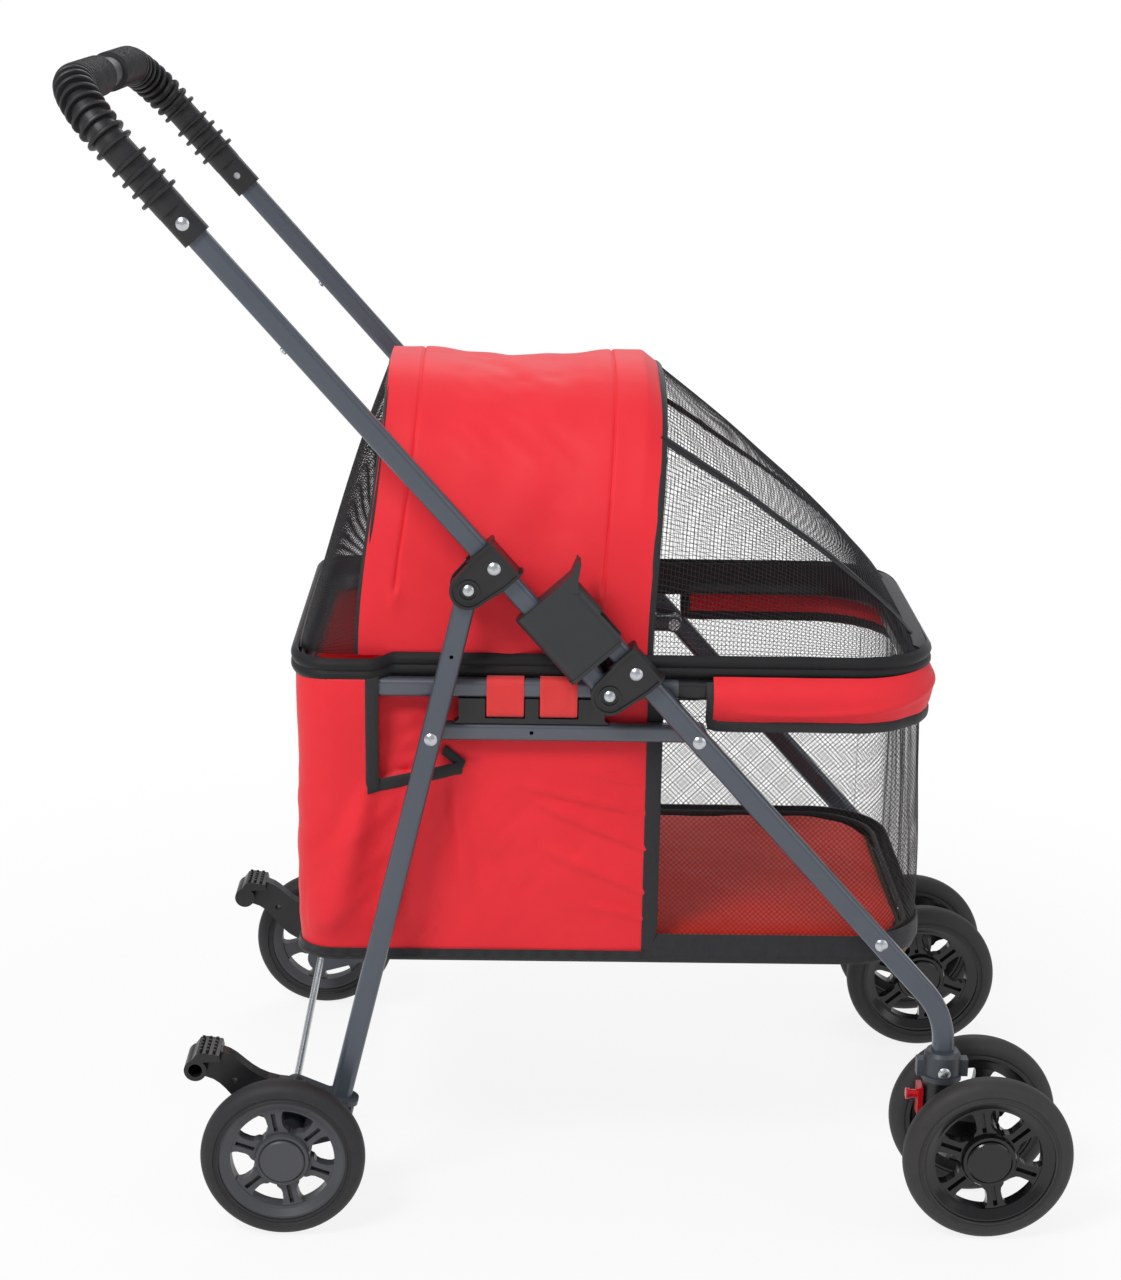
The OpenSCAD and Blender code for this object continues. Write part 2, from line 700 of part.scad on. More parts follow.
module brake_rod() {
    color("silver") at_point([axle_x + brake_rod_dx, rear_r + brake_rod_dz])
        bar_y(brake_rod_r, -tube_out - 8, tube_out + 8);
}

// Point of a cubic curve with end points a and d.
function curve(a, b, c, d, t) =
    a * pow(1 - t, 3) + 3 * b * t * pow(1 - t, 2) + 3 * c * pow(t, 2) * (1 - t) + d * pow(t, 3);

// Foot pedal: a hub on the rod, an arm that sweeps up and back, a tread with
// rows of studs, and an open roller-shaped tip.
module brake_pedal(side) {
    y0 = tube_in + 3.6;
    y1 = y0 + 13;
    mid = (y0 + y1) / 2;
    tip_r = 9;
    tip = [-pedal_reach, pedal_rise];
    tread = [for (i = [0 : 2]) tip + [4 + 5.5 * i, 15.6 - 0.5 * i]];
    top = [for (t = [0 : 0.1 : 1])
        curve(tip + [14, 13], tip + [38, 11], [-40, 12], [-2, pedal_hub_r], t)];
    under = [for (t = [0 : 0.1 : 1])
        curve([-24, -20], [-50, -14], tip + [26, -8], tip + [0, -tip_r], t)];
    color("#161616") on_side(side) at_point([axle_x + brake_rod_dx, rear_r + brake_rod_dz]) difference() {
        union() {
            bar_y(pedal_hub_r, y0, y1);
            plate(y0, y1) polygon(concat([tip], top, [[2, -pedal_hub_r], [-14, -20]], under));
            // tread, wider than the arm
            plate(mid - pedal_w / 2, mid + pedal_w / 2)
                polygon([tip + [-4, 7], tip + [1, 14], tip + [6, 15], tip + [19, 13], tip + [20, 8], tip + [6, 7]]);
            for (p = tread, y = [-2 : 2]) at_point(p) translate([0, mid + y * pedal_w / 5.5, 0])
                cylinder(r = 1.3, h = 3, center = true);
            at_point(tip) bar_y(tip_r, mid - pedal_w / 2, mid + pedal_w / 2);
        }
        bar_y(brake_rod_r, 0, beyond);
        at_point(tip) bar_y(tip_r - 3.5, mid - pedal_w / 2 + 3, beyond);
        translate([tip[0] + 30, 0, tip[1] - 13]) bar_y(2.6, 0, beyond);
    }
}

/* ---- wheels ---- */

// Foam tyre with a round tread and a step at the bead, on the local Z axis.
module tyre(r, w) {
    bead = r * rim_part;
    tread_r = w * 0.45;
    color("#2b2a2c") rotate_extrude($fn = 96) difference() {
        union() {
            translate([bead, -w / 2]) square([r - bead - tread_r, w]);
            translate([bead, -w / 2 + tread_r]) square([r - bead, w - 2 * tread_r]);
            for (s = [-1, 1]) translate([r - tread_r, s * (w / 2 - tread_r)]) circle(tread_r);
        }
        // step beside the rim, and nothing inside the bead
        for (s = [-1, 1]) translate([bead + 3, s * (w / 2 + 0.6)]) circle(1.6, $fn = 24);
        translate([0, -w]) square([bead, 2 * w]);
    }
}

// Moulded wheel on the local Z axis: dished rim, hub ring with a flat cap, and spokes
// of two ribs each, which flare into the rim and the hub.
module spoked_wheel(r, w) {
    bead = r * rim_part - fit_gap;
    lip = r * window_part;
    hub = cap_r + 4.5;
    half = 5.8;
    difference() {
        union() {
            rotate_extrude($fn = 96) polygon([
                [lip, -w * 0.3], [bead - 2, -w * 0.42], [bead, -w * 0.42], [bead, w * 0.42],
                [bead - 2, w * 0.42], [lip + 2, w * 0.28], [lip, w * 0.24]
            ]);
            rotate_extrude() polygon([
                [0, -w * 0.45], [hub - 3, -w * 0.45], [hub, -w * 0.35], [hub, w * 0.3],
                [hub - 1.2, w * 0.4], [cap_r + 1, w * 0.4], [cap_r + 1, w * 0.34], [cap_r, w * 0.34],
                [cap_r, w * 0.46], [cap_r - 1, w * 0.5], [0, w * 0.5]
            ]);
            for (i = [0 : spokes - 1]) rotate(spoke_turn + i * 360 / spokes)
                translate([0, 0, -w * 0.22]) linear_extrude(w * 0.43) polygon([
                    [cap_r, half + 4], [hub + 1, half + 3], [hub + 4, half + 0.6], [hub + 7, half],
                    [lip - 6, half + 0.5], [lip - 3, half + 1.6], [lip + 1, half + 5],
                    [lip + 1, -half - 5], [lip - 3, -half - 1.6], [lip - 6, -half - 0.5],
                    [hub + 7, -half], [hub + 4, -half - 0.6], [hub + 1, -half - 3], [cap_r, -half - 4]
                ]);
        }
        // groove between the two ribs of each spoke
        for (i = [0 : spokes - 1]) rotate(spoke_turn + i * 360 / spokes)
            translate([hub + 1.5, -1.7, w * 0.02]) cube([lip - hub - 3.5, 3.4, w]);
        translate([0, 0, -w]) cylinder(r = axle_r + pin_gap, h = w * 1.3);
    }
}

// Puts a wheel's local Z axis on the axle, with its cap facing outwards.
module wheel_at(x, y, z, out) {
    translate([x, y, z]) rotate([-90 * out, 0, 0]) children();
}

module rear_tyre(side) {
    wheel_at(axle_x, side * rear_wheel_y, rear_r, side) tyre(rear_r, rear_tyre_w);
}

module rear_wheel(side) {
    color("#45464a") wheel_at(axle_x, side * rear_wheel_y, rear_r, side) spoked_wheel(rear_r, rear_tyre_w);
}

module front_tyre(side, out) {
    wheel_at(swivel_x + caster_trail, side * (frame_y + out * front_wheel_out), front_r, side * out)
        tyre(front_r, front_tyre_w);
}

module front_wheel(side, out) {
    color("#161616") wheel_at(swivel_x + caster_trail, side * (frame_y + out * front_wheel_out), front_r, side * out)
        spoked_wheel(front_r, front_tyre_w);
}

// Caster fork: spindle, round neck, forward arm and the axle with both of its ends.
module caster_fork(side) {
    half = front_wheel_out - front_tyre_w / 2 - 1.5;
    end = front_wheel_out + front_tyre_w / 2 - 5;
    crown = collar_z - slide_gap - fork_neck;
    color("#1b1b1d") on_side(side) translate([swivel_x, frame_y, 0]) {
        translate([0, 0, collar_z - slide_gap]) cylinder(r = spindle_r, h = collar_h / 2 - 2);
        translate([0, 0, crown]) cylinder(r = collar_r, h = collar_z - slide_gap - crown);
        plate(-fork_hub_r + 3, fork_hub_r - 3) polygon([
            [-10, crown], [-13, crown - 6], [caster_trail - fork_hub_r, front_r - 12],
            [caster_trail, front_r - fork_hub_r], [caster_trail + fork_hub_r, front_r],
            [caster_trail + 8, front_r + 14], [13, crown + 2], [10, crown + 6]
        ]);
        at_point([caster_trail, front_r]) {
            bar_y(fork_hub_r, -half + 6, half - 6);
            bar_y(fork_hub_r * 0.6, -half, half);
            bar_y(axle_r, -end, end);
        }
    }
}

// Red swivel lock: a plate on the back of the fork's neck with a thumb knob.
module caster_lock(side) {
    z0 = collar_z - slide_gap - fork_neck * 0.9;
    z1 = collar_z - slide_gap * 2 - lock_travel;
    x1 = -collar_r - slide_gap;
    plate_t = 4;
    plate_w = 16;
    color("#d01020") on_side(side) translate([swivel_x, frame_y, 0]) {
        translate([x1 - plate_t, -plate_w / 2, z0]) cube([plate_t, plate_w, z1 - z0]);
        translate([x1 - plate_t, 0, z1 - plate_w / 2]) rotate([0, -90, 0]) {
            cylinder(r = 3.6, h = 6);
            translate([0, 0, 6]) cylinder(r = 4.6, h = 3);
        }
    }
}

/* ---- rails and rim loops ---- */

module lower_rail(side) {
    color("#5a5e66") on_side(side) difference() {
        union() {
            translate([0, rail_y, rail_z]) along_x(rail_back[0], rail_pivot[0])
                tube_ring(rail_t, rail_w, tube_r, tube_wall);
            for (p = [rail_back, rail_pivot]) at_point(p)
                plate(rail_y - rail_t / 2, rail_y + rail_t / 2) circle(rail_w / 2);
        }
        at_point(rail_pivot) bar_y(pin_r + pin_gap, 0, beyond);
        // empty screw hole in the outer face
        translate([saddle_x + saddle_posts[1] + post_w[1] / 2, 0, rail_z]) bar_y(1.6, rail_y, beyond);
    }
}

// Plastic combs that stand on the lower rails and carry the upper ones.
module rail_saddles() {
    top = upper_rail_z - rail_w / 2;
    low = rail_z + rail_w / 2;
    end = saddle_posts[2] + post_w[2];
    color("#1b1b1d") for (side = [-1, 1]) on_side(side) translate([saddle_x, 0, low])
        plate(rail_y - rail_t / 2, rail_y + rail_t / 2) {
            for (i = [0 : 2]) translate([saddle_posts[i], 0]) square([post_w[i], top - low]);
            polygon([
                [-saddle_foot, 0], [2, saddle_foot], [end - 2, saddle_foot], [end + saddle_foot, 0]
            ]);
        }
}

// Path of a rim loop from x0 round one end of the carrier, with round corners.
// It is drawn from the corners' centres, so that its runs meet the bends exactly.
module loop_path(x0, x_end, r) {
    dir = sign(x_end - x0);
    run = abs(x_end - x0) - r;
    translate([x_end - dir * r, 0, upper_rail_z]) scale([dir, 1, 1]) {
        for (side = [-1, 1]) on_side(side) {
            translate([0, loop_y, 0]) along_x(-run, 0) children();
            translate([0, loop_y - r, 0]) rotate_extrude(angle = 90) translate([r, 0]) children();
        }
        translate([r, loop_y - r, 0]) rotate([90, 0, 0]) linear_extrude(2 * (loop_y - r)) children();
    }
}

module rear_rim_loop() {
    color("#5a5e66") loop_path(knuckle_x - knuckle_half, loop_rear, loop_rear_r)
        tube_ring(rail_t, rail_w, tube_r, tube_wall);
}

module front_rim_loop() {
    color("#2a2b2d") loop_path(knuckle_x + knuckle_half, loop_front, loop_front_r)
        tube_ring(rail_t, rail_w, tube_r, tube_wall);
}

// Plastic knuckles that join the two loops on each side.
module rim_knuckles() {
    inside = tube_wall + fit_gap;
    color("#1b1b1d") for (side = [-1, 1]) on_side(side) translate([knuckle_x, loop_y, upper_rail_z]) {
        along_x(-knuckle_half, knuckle_half) round_rect(rail_t, rail_w + 1, tube_r);
        along_x(-2.4 * knuckle_half, 2.4 * knuckle_half)
            round_rect(rail_t - 2 * inside, rail_w - 2 * inside, tube_r - tube_wall);
    }
}

// Wide fabric loops that hang the carrier on the upper rails, between the combs' posts.
module strap_loops() {
    thick = 1.3;
    y1 = loop_out + fit_gap + thick;
    z0 = rail_z + rail_w / 2 + saddle_foot + fit_gap;
    color("#e8202c") for (side = [-1, 1], i = [0, 1]) on_side(side)
        translate([saddle_x + saddle_posts[i] + post_w[i] + 1, 0, z0])
            along_x(0, saddle_posts[i + 1] - saddle_posts[i] - post_w[i] - 2) difference() {
                translate([body_half_w, 0]) square([y1 - body_half_w, body_top_z - z0]);
                translate([body_half_w + thick, thick])
                    square([y1 - body_half_w - 2 * thick, body_top_z - z0 - 2 * thick]);
            }
}

/* ---- carrier ---- */

// Plan of the carrier, grown by d: tight back corners and wide front ones.
module body_plan(d = 0) {
    rr = body_rear_r + d;
    fr = body_front_r + d;
    x0 = body_rear - d;
    x1 = body_front + d;
    h = body_half_w + d;
    translate([x0 + rr, -h]) square([x1 - fr - x0 - rr, 2 * h]);
    translate([x0, -h + rr]) square([rr + 1, 2 * (h - rr)]);
    translate([x1 - fr - 1, -h + fr]) square([fr + 1, 2 * (h - fr)]);
    for (s = [-1, 1]) {
        translate([x0 + rr, s * (h - rr)]) circle(rr);
        translate([x1 - fr, s * (h - fr)]) circle(fr);
    }
}

// Upright wall on the carrier's plan between two heights.
module body_wall(z0, z1, t = wall) {
    translate([0, 0, z0]) linear_extrude(z1 - z0) difference() {
        body_plan();
        body_plan(-t);
    }
}

// What lies between two stations along the carrier.
module between_x(x0, x1) {
    intersection() {
        children();
        translate([x0, -beyond / 2, 0]) cube([x1 - x0, beyond, beyond]);
    }
}

// Black base with its upturned band.
module base_panel() {
    color("#151515") {
        translate([0, 0, body_z]) linear_extrude(wall) body_plan();
        body_wall(body_z + wall - eps, body_z + base_band);
    }
}

module floor_board() {
    color("#6b5a45") translate([0, 0, body_z + wall]) linear_extrude(board_t) body_plan(-wall - 2);
}

module floor_pad() {
    color("#9a1018") translate([0, 0, body_z + wall + board_t]) {
        linear_extrude(pad_t - 3) body_plan(-wall - 3);
        translate([0, 0, pad_t - 3]) linear_extrude(3) body_plan(-wall - 7);
    }
}

// Red back and side walls, up to the window. They end under the rim band, and run up to
// the zip band where the rails hang outside the carrier.
module basket_fabric() {
    color("#f23a40") {
        between_x(body_rear - 1, window_x) body_wall(body_z + base_band, rim_z0);
        between_x(notch_x, window_x) body_wall(rim_z0 - eps, body_top_z);
    }
}

// See-through front of the basket, from the base band up to the rim band.
module basket_mesh() {
    color("#303032") {
        between_x(window_x, body_front + 1) body_wall(body_z + base_band, rim_z0);
        between_x(window_x, band_x) body_wall(rim_z0 - eps, body_top_z);
    }
}

// Plan of the rim loops' centre line, grown by d.
module loop_plan(d) {
    h = loop_y + d;
    rr = loop_rear_r + d;
    fr = loop_front_r + d;
    x0 = loop_rear - d;
    x1 = loop_front + d;
    translate([x0 + rr, -h]) square([x1 - fr - x0 - rr, 2 * h]);
    translate([x0, -h + rr]) square([rr + 1, 2 * (h - rr)]);
    translate([x1 - fr - 1, -h + fr]) square([fr + 1, 2 * (h - fr)]);
    for (s = [-1, 1]) {
        translate([x0 + rr, s * (h - rr)]) circle(rr);
        translate([x1 - fr, s * (h - fr)]) circle(fr);
    }
}

// Padded red rim: a channel that wraps the front loop, and the rear loop behind the notches.
module rim_band() {
    half = rail_t / 2;
    color("#f23a40") difference() {
        translate([0, 0, rim_z0]) linear_extrude(body_top_z - rim_z0) difference() {
            loop_plan(half + fit_gap + skin);
            loop_plan(-half);
        }
        translate([0, 0, upper_rail_z - rail_w / 2 - fit_gap]) linear_extrude(rail_w + 2 * fit_gap)
            loop_plan(half + fit_gap);
        translate([notch_x, -beyond / 2, 0]) cube([band_x - notch_x, beyond, beyond]);
    }
}

module zip_band() {
    color("#111111") body_wall(body_top_z, canopy_z, wall * 1.6);
}

/* ---- canopy ---- */

// One point of the arch at angle a, for an arch half_w wide and rise high.
function arch_point(half_w, rise, a) = [
    half_w * sign(cos(a)) * pow(abs(cos(a)), 2 / roof_power),
    rise * pow(max(sin(a), 0), 2 / roof_power)
];

function arch(half_w, rise) = [for (a = [0 : 7.5 : 180]) arch_point(half_w, rise, a)];

// Half of the carrier's width at x, inside the round corners.
function plan_half(x) =
    let (
        r = x > body_front - body_front_r ? body_front_r : body_rear_r,
        over = max(x - (body_front - body_front_r), body_rear + body_rear_r - x, 0)
    )
    body_half_w - r + sqrt(max(r * r - over * over, 0));

// Stations of a hood that falls from the roof's edge at x0 to the carrier's end at x1, with
// a flat nose: [x, half width, rise]. A power under 1 makes the fall bulge.
function hood_stations(x0, x1, power, steps, nose = 0) = [
    for (i = [0 : steps])
        let (x = x0 + (x1 - x0) * i / steps, fall = min(1, (x - x0) / (x1 - x0 - nose)))
        [x, plan_half(x), hood_edge + (roof_rise - hood_edge) * pow(1 - fall, power)]
];

// The same stations one wall further in.
function inner_stations(st) =
    let (dir = sign(st[1][0] - st[0][0]))
    [for (i = [0 : len(st) - 1]) [st[i][0] - (i == 0 ? 0 : dir * wall), st[i][1] - wall, st[i][2] - wall]];

// Grid of points over the stations, between two angles of the arch.
function hood_grid(st, a0, a1, steps) = [
    for (s = st, j = [0 : steps])
        let (p = arch_point(s[1], s[2], a0 + (a1 - a0) * j / steps)) [s[0], p[0], canopy_z + p[1]]
];

// Point between four corners, u along and v across.
function blend(p, u, v) =
    (p[0] * (1 - u) + p[1] * u) * (1 - v) + (p[3] * (1 - u) + p[2] * u) * v;

// Number of the first of a cell's four hole points.
function hole_at(m, n, k, i, j) = 2 * m * n + k * 4 * (m - 1) * (n - 1) + 4 * (i * (n - 1) + j);

// Hole points of every cell of a grid, a bar's width inside the cell.
function hole_points(g, m, n) = [
    for (i = [0 : m - 2], j = [0 : n - 2])
        let (
            a = i * n + j,
            cell = [g[a], g[a + 1], g[a + n + 1], g[a + n]],
            b = net_bar / 2
        )
        each [blend(cell, b, b), blend(cell, 1 - b, b), blend(cell, 1 - b, 1 - b), blend(cell, b, 1 - b)]
];

// Frame round each cell's hole on skin k, in two triangles a side.
function frame_faces(m, n, k, flip) = [
    for (i = [0 : m - 2], j = [0 : n - 2], e = [0 : 3], half = [0, 1])
        let (
            a = k * m * n + i * n + j,
            c = [a, a + 1, a + n + 1, a + n],
            h = hole_at(m, n, k, i, j),
            p = c[e], q = c[(e + 1) % 4],
            tri = half == 0 ? [p, q, h + (e + 1) % 4] : [p, h + (e + 1) % 4, h + e]
        )
        flip ? [tri[2], tri[1], tri[0]] : tri
];

// Walls of every hole, from skin to skin.
function hole_faces(m, n, flip) = [
    for (i = [0 : m - 2], j = [0 : n - 2], e = [0 : 3], half = [0, 1])
        let (
            p = hole_at(m, n, 0, i, j) + e, q = hole_at(m, n, 0, i, j) + (e + 1) % 4,
            k = 4 * (m - 1) * (n - 1),
            tri = half == 0 ? [p, q, q + k] : [p, q + k, p + k]
        )
        flip ? [tri[2], tri[1], tri[0]] : tri
];

// Strips that close the net along its four edges.
function edge_faces(m, n, flip) =
    let (
        k = m * n,
        loop = concat(
            [for (j = [0 : n - 2]) j], [for (i = [0 : m - 2]) i * n + n - 1],
            [for (j = [n - 1 : -1 : 1]) (m - 1) * n + j], [for (i = [m - 1 : -1 : 1]) i * n]
        ),
        c = len(loop)
    )
    [
        for (i = [0 : c - 1], half = [0, 1])
            let (
                p = loop[i], q = loop[(i + 1) % c],
                tri = half == 0 ? [p, p + k, q + k] : [p, q + k, q]
            )
            flip ? [tri[2], tri[1], tri[0]] : tri
    ];

// Curved net over the stations, between two angles of the arch, as a grid of square openings.
module hood_net(st, a0, a1, steps) {
    n = steps + 1;
    m = len(st);
    flip = st[1][0] < st[0][0];
    outer = hood_grid(st, a0, a1, steps);
    inner = hood_grid(inner_stations(st), a0, a1, steps);
    polyhedron(
        points = concat(outer, inner, hole_points(outer, m, n), hole_points(inner, m, n)),
        faces = concat(
            frame_faces(m, n, 0, flip), frame_faces(m, n, 1, !flip),
            hole_faces(m, n, flip), edge_faces(m, n, flip)
        ),
        convexity = 8
    );
}

front_stations = hood_stations(roof_x1, body_front, 0.8, 10, nose_len);
back_stations = hood_stations(roof_x0, body_rear, 0.8, 4);

module canopy_roof() {
    color("#f23a40") translate([roof_x0, 0, canopy_z]) rotate([90, 0, 90]) linear_extrude(roof_len) difference() {
        polygon(arch(body_half_w, roof_rise));
        translate([0, -1]) polygon(arch(body_half_w - wall, roof_rise - wall + 1));
    }
}

// Mesh of the canopy: the sloping back and both cheeks of the hood.
module canopy_mesh() {
    color("#3a3a3c") {
        hood_net(back_stations, 0, 180, 12);
        for (a = [0, 180 - door_angle + door_gap_angle])
            hood_net(front_stations, a, a + door_angle - door_gap_angle, 4);
    }
}

// Front door: the middle of the hood, which zips open and lifts from the roof's edge.
module canopy_door() {
    door_stations = [
        for (i = [0 : len(front_stations) - 1])
            let (s = front_stations[i]) i == 0 ? [s[0] + door_gap, s[1], s[2]] : s
    ];
    color("#2c2c2e") hood_net(door_stations, door_angle, 180 - door_angle, 8);
}

front_leg(1);  // front_leg_left
front_leg(-1);  // front_leg_right
lower_bracket(1);  // lower_bracket_left
lower_bracket(-1);  // lower_bracket_right
caster_collar(1);  // caster_collar_left
caster_collar(-1);  // caster_collar_right
front_frame_rivets();
push_tube(1);  // push_tube_left
push_tube(-1);  // push_tube_right
handle_bar();
handle_grip();
handle_rivets();
upper_bracket(1);  // upper_bracket_left
upper_bracket(-1);  // upper_bracket_right
lock_sleeve(1);  // lock_sleeve_left
lock_sleeve(-1);  // lock_sleeve_right
snap_button(1);  // snap_button_left
snap_button(-1);  // snap_button_right
rear_leg(1);  // rear_leg_left
rear_leg(-1);  // rear_leg_right
wheel_housing(1);  // wheel_housing_left
wheel_housing(-1);  // wheel_housing_right
rear_axles();
rear_leg_rivets();
brake_rod();
brake_pedal(1);  // brake_pedal_left
brake_pedal(-1);  // brake_pedal_right
rear_tyre(1);  // rear_tyre_left
rear_tyre(-1);  // rear_tyre_right
rear_wheel(1);  // rear_wheel_left
rear_wheel(-1);  // rear_wheel_right
caster_fork(1);  // caster_fork_left
caster_fork(-1);  // caster_fork_right
caster_lock(1);  // caster_lock_left
caster_lock(-1);  // caster_lock_right
front_tyre(1, 1);  // front_tyre_left_outer
front_tyre(1, -1);  // front_tyre_left_inner
front_tyre(-1, 1);  // front_tyre_right_outer
front_tyre(-1, -1);  // front_tyre_right_inner
front_wheel(1, 1);  // front_wheel_left_outer
front_wheel(1, -1);  // front_wheel_left_inner
front_wheel(-1, 1);  // front_wheel_right_outer
front_wheel(-1, -1);  // front_wheel_right_inner
lower_rail(1);  // lower_rail_left
lower_rail(-1);  // lower_rail_right
rail_saddles();
rear_rim_loop();
front_rim_loop();
rim_knuckles();
strap_loops();
base_panel();
floor_board();
floor_pad();
basket_fabric();
basket_mesh();
rim_band();
zip_band();
canopy_roof();
canopy_mesh();
canopy_door();
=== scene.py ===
"""Folding pet stroller: soft goods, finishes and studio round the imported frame."""

import json
import logging
import math
from collections.abc import Callable, Iterable, Sequence
from dataclasses import dataclass, field
from enum import Enum

import bpy
from mathutils import Matrix, Vector, noise


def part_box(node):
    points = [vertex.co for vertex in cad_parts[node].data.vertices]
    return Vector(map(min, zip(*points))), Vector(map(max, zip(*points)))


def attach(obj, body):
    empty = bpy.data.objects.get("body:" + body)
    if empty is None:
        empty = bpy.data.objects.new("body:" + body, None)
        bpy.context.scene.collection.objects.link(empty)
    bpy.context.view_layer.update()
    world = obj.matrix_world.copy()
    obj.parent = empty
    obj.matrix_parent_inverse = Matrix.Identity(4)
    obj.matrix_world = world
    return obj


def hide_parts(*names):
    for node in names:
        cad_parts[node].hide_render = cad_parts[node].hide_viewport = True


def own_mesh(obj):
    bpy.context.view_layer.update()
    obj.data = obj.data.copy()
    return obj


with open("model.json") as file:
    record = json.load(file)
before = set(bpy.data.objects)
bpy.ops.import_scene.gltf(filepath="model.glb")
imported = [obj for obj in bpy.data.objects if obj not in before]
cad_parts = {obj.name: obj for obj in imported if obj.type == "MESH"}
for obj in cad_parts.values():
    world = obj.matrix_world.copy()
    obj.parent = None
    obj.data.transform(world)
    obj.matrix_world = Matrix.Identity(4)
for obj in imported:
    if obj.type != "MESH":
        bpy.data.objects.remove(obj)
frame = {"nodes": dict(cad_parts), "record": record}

LOG = logging.getLogger("stroller")
MM = 0.001
MERGE = 0.00005  # points nearer than this are one point
SIM_FRAMES = 20
LEAST_CLOTH = 0.31  # the smallest share of its outline that a net states as cloth
SIDES = (("right", -1), ("left", 1))
UP = Vector((0, 0, 1))
AHEAD = Vector((1, 0, 0))
Object = bpy.types.Object
Tree = bpy.types.NodeTree
Socket = bpy.types.NodeSocket
Place = Callable[[float, float], Vector]
Cut = tuple[float, float]  # a tape's width and thickness in metres
Spot = tuple[Vector, Vector]  # a point of the plan and its outward normal


# ---------------------------------------------------------------- colour and nodes


def linear(code: str) -> tuple[float, float, float, float]:
    """Turns an sRGB hex code into a linear colour.

    Args:
        code: The colour as "#rrggbb".

    Returns:
        Red, green, blue and alpha, linear.
    """
    parts = [int(code[i : i + 2], 16) / 255 for i in (1, 3, 5)]
    low = [c / 12.92 if c <= 0.04045 else ((c + 0.055) / 1.055) ** 2.4 for c in parts]
    return (*low, 1.0)


def clean_tree(owner: bpy.types.ID) -> Tree:
    """Gives a material or world an empty node tree."""
    owner.use_nodes = True
    owner.node_tree.nodes.clear()
    return owner.node_tree


def add_node(
    tree: Tree, kind: str, settings: dict | None = None, inputs: dict | None = None
) -> bpy.types.Node:
    """Adds one shader node.

    Args:
        tree: The node tree that gets the node.
        kind: The node's Blender type, without the "ShaderNode" that they all start with.
        settings: Properties of the node by name.
        inputs: Input sockets by name or number, each with a value or the socket that feeds it.

    Returns:
        The new node.
    """
    node = tree.nodes.new("ShaderNode" + kind)
    for key, value in (settings or {}).items():
        setattr(node, key, value)
    for key, value in (inputs or {}).items():
        if isinstance(value, Socket):
            tree.links.new(value, node.inputs[key])
        else:
            node.inputs[key].default_value = value
    return node


def combine(tree: Tree, operation: str, a: Socket, b: Socket) -> Socket:
    """Adds a math node for two sockets and gives its result."""
    return add_node(tree, "Math", {"operation": operation}, {0: a, 1: b}).outputs[0]


class Shader:
    """A material under construction: its tree, its Principled node and its coordinates."""

    def __init__(self, name: str, base: str, roughness: float, **sockets: object) -> None:
        """Starts a material with a Principled shader.

        Args:
            name: The material's name.
            base: Its colour, sRGB hex.
            roughness: Its roughness.
            **sockets: Other Principled sockets, with underscores for spaces.
        """
        self.material = bpy.data.materials.new(name)
        self.tree = clean_tree(self.material)
        look = {"Base Color": linear(base), "Roughness": roughness}
        look |= {key.replace("_", " "): value for key, value in sockets.items()}
        self.main = add_node(self.tree, "BsdfPrincipled", inputs=look)
        add_node(self.tree, "OutputMaterial", inputs={"Surface": self.main.outputs[0]})
        self.coords = add_node(self.tree, "TexCoord")

    def noise(self, size_mm: float, detail: float = 2.0, stretch: Sequence[float] = (1, 1, 1)) -> Socket:
        """Adds noise in Object coordinates.

        Args:
            size_mm: The size of one grain in millimetres.
            detail: Octaves of the noise.
            stretch: How the coordinates are scaled along X, Y and Z.

        Returns:
            The noise, from 0 to 1.
        """
        spread = {"Vector": self.coords.outputs["Object"], "Scale": stretch}
        place = add_node(self.tree, "Mapping", inputs=spread).outputs[0]
        grain = {"Vector": place, "Scale": 1 / MM / size_mm, "Detail": detail}
        return add_node(self.tree, "TexNoise", inputs=grain).outputs[0]

    def weave(self, pitch_mm: float) -> Socket:
        """Adds a plain weave in the piece's own UV, which is laid out in metres.

        Args:
            pitch_mm: The distance between threads.

        Returns:
            The weave's height, from 0 to 1.
        """
        scale = 50 / pitch_mm * 2 / math.pi
        inputs = {"Vector": self.coords.outputs["UV"], "Scale": scale, "Distortion": 0.3}
        waves = [
            add_node(self.tree, "TexWave", {"bands_direction": way}, inputs).outputs["Fac"]
            for way in ("X", "Y")
        ]
        return combine(self.tree, "MULTIPLY", *waves)

    def tint(self, factor: Socket, dark: str, light: str) -> None:
        """Varies the base colour between two colours.

        Args:
            factor: The socket that picks between them.
            dark: Colour at 0, sRGB hex.
            light: Colour at 1, sRGB hex.
        """
        colours = {0: factor, 6: linear(dark), 7: linear(light)}
        mix = add_node(self.tree, "Mix", {"data_type": "RGBA"}, colours)
        self.tree.links.new(mix.outputs[2], self.main.inputs["Base Color"])

    def rough(self, clouds: Socket, low: float, high: float) -> None:
        """Varies the roughness with noise.

        Args:
            clouds: The noise, whose middle part counts.
            low: The roughness where it is low.
            high: The roughness where it is high.
        """
        spans = {"From Min": 0.3, "From Max": 0.7, "To Min": low, "To Max": high}
        node = add_node(self.tree, "MapRange", inputs={"Value": clouds, **spans})
        self.tree.links.new(node.outputs[0], self.main.inputs["Roughness"])

    def bump(self, height: Socket, depth_mm: float, strength: float = 1.0) -> None:
        """Adds relief on top of any the material has.

        Args:
            height: The socket with the relief, from 0 to 1.
            depth_mm: Its depth in millimetres.
            strength: How strongly it shows.
        """
        inputs = {"Height": height, "Distance": depth_mm * MM, "Strength": strength}
        socket = self.main.inputs["Normal"]
        if socket.is_linked:
            inputs["Normal"] = socket.links[0].from_socket
        self.tree.links.new(add_node(self.tree, "Bump", inputs=inputs).outputs[0], socket)


# ---------------------------------------------------------------- finishes


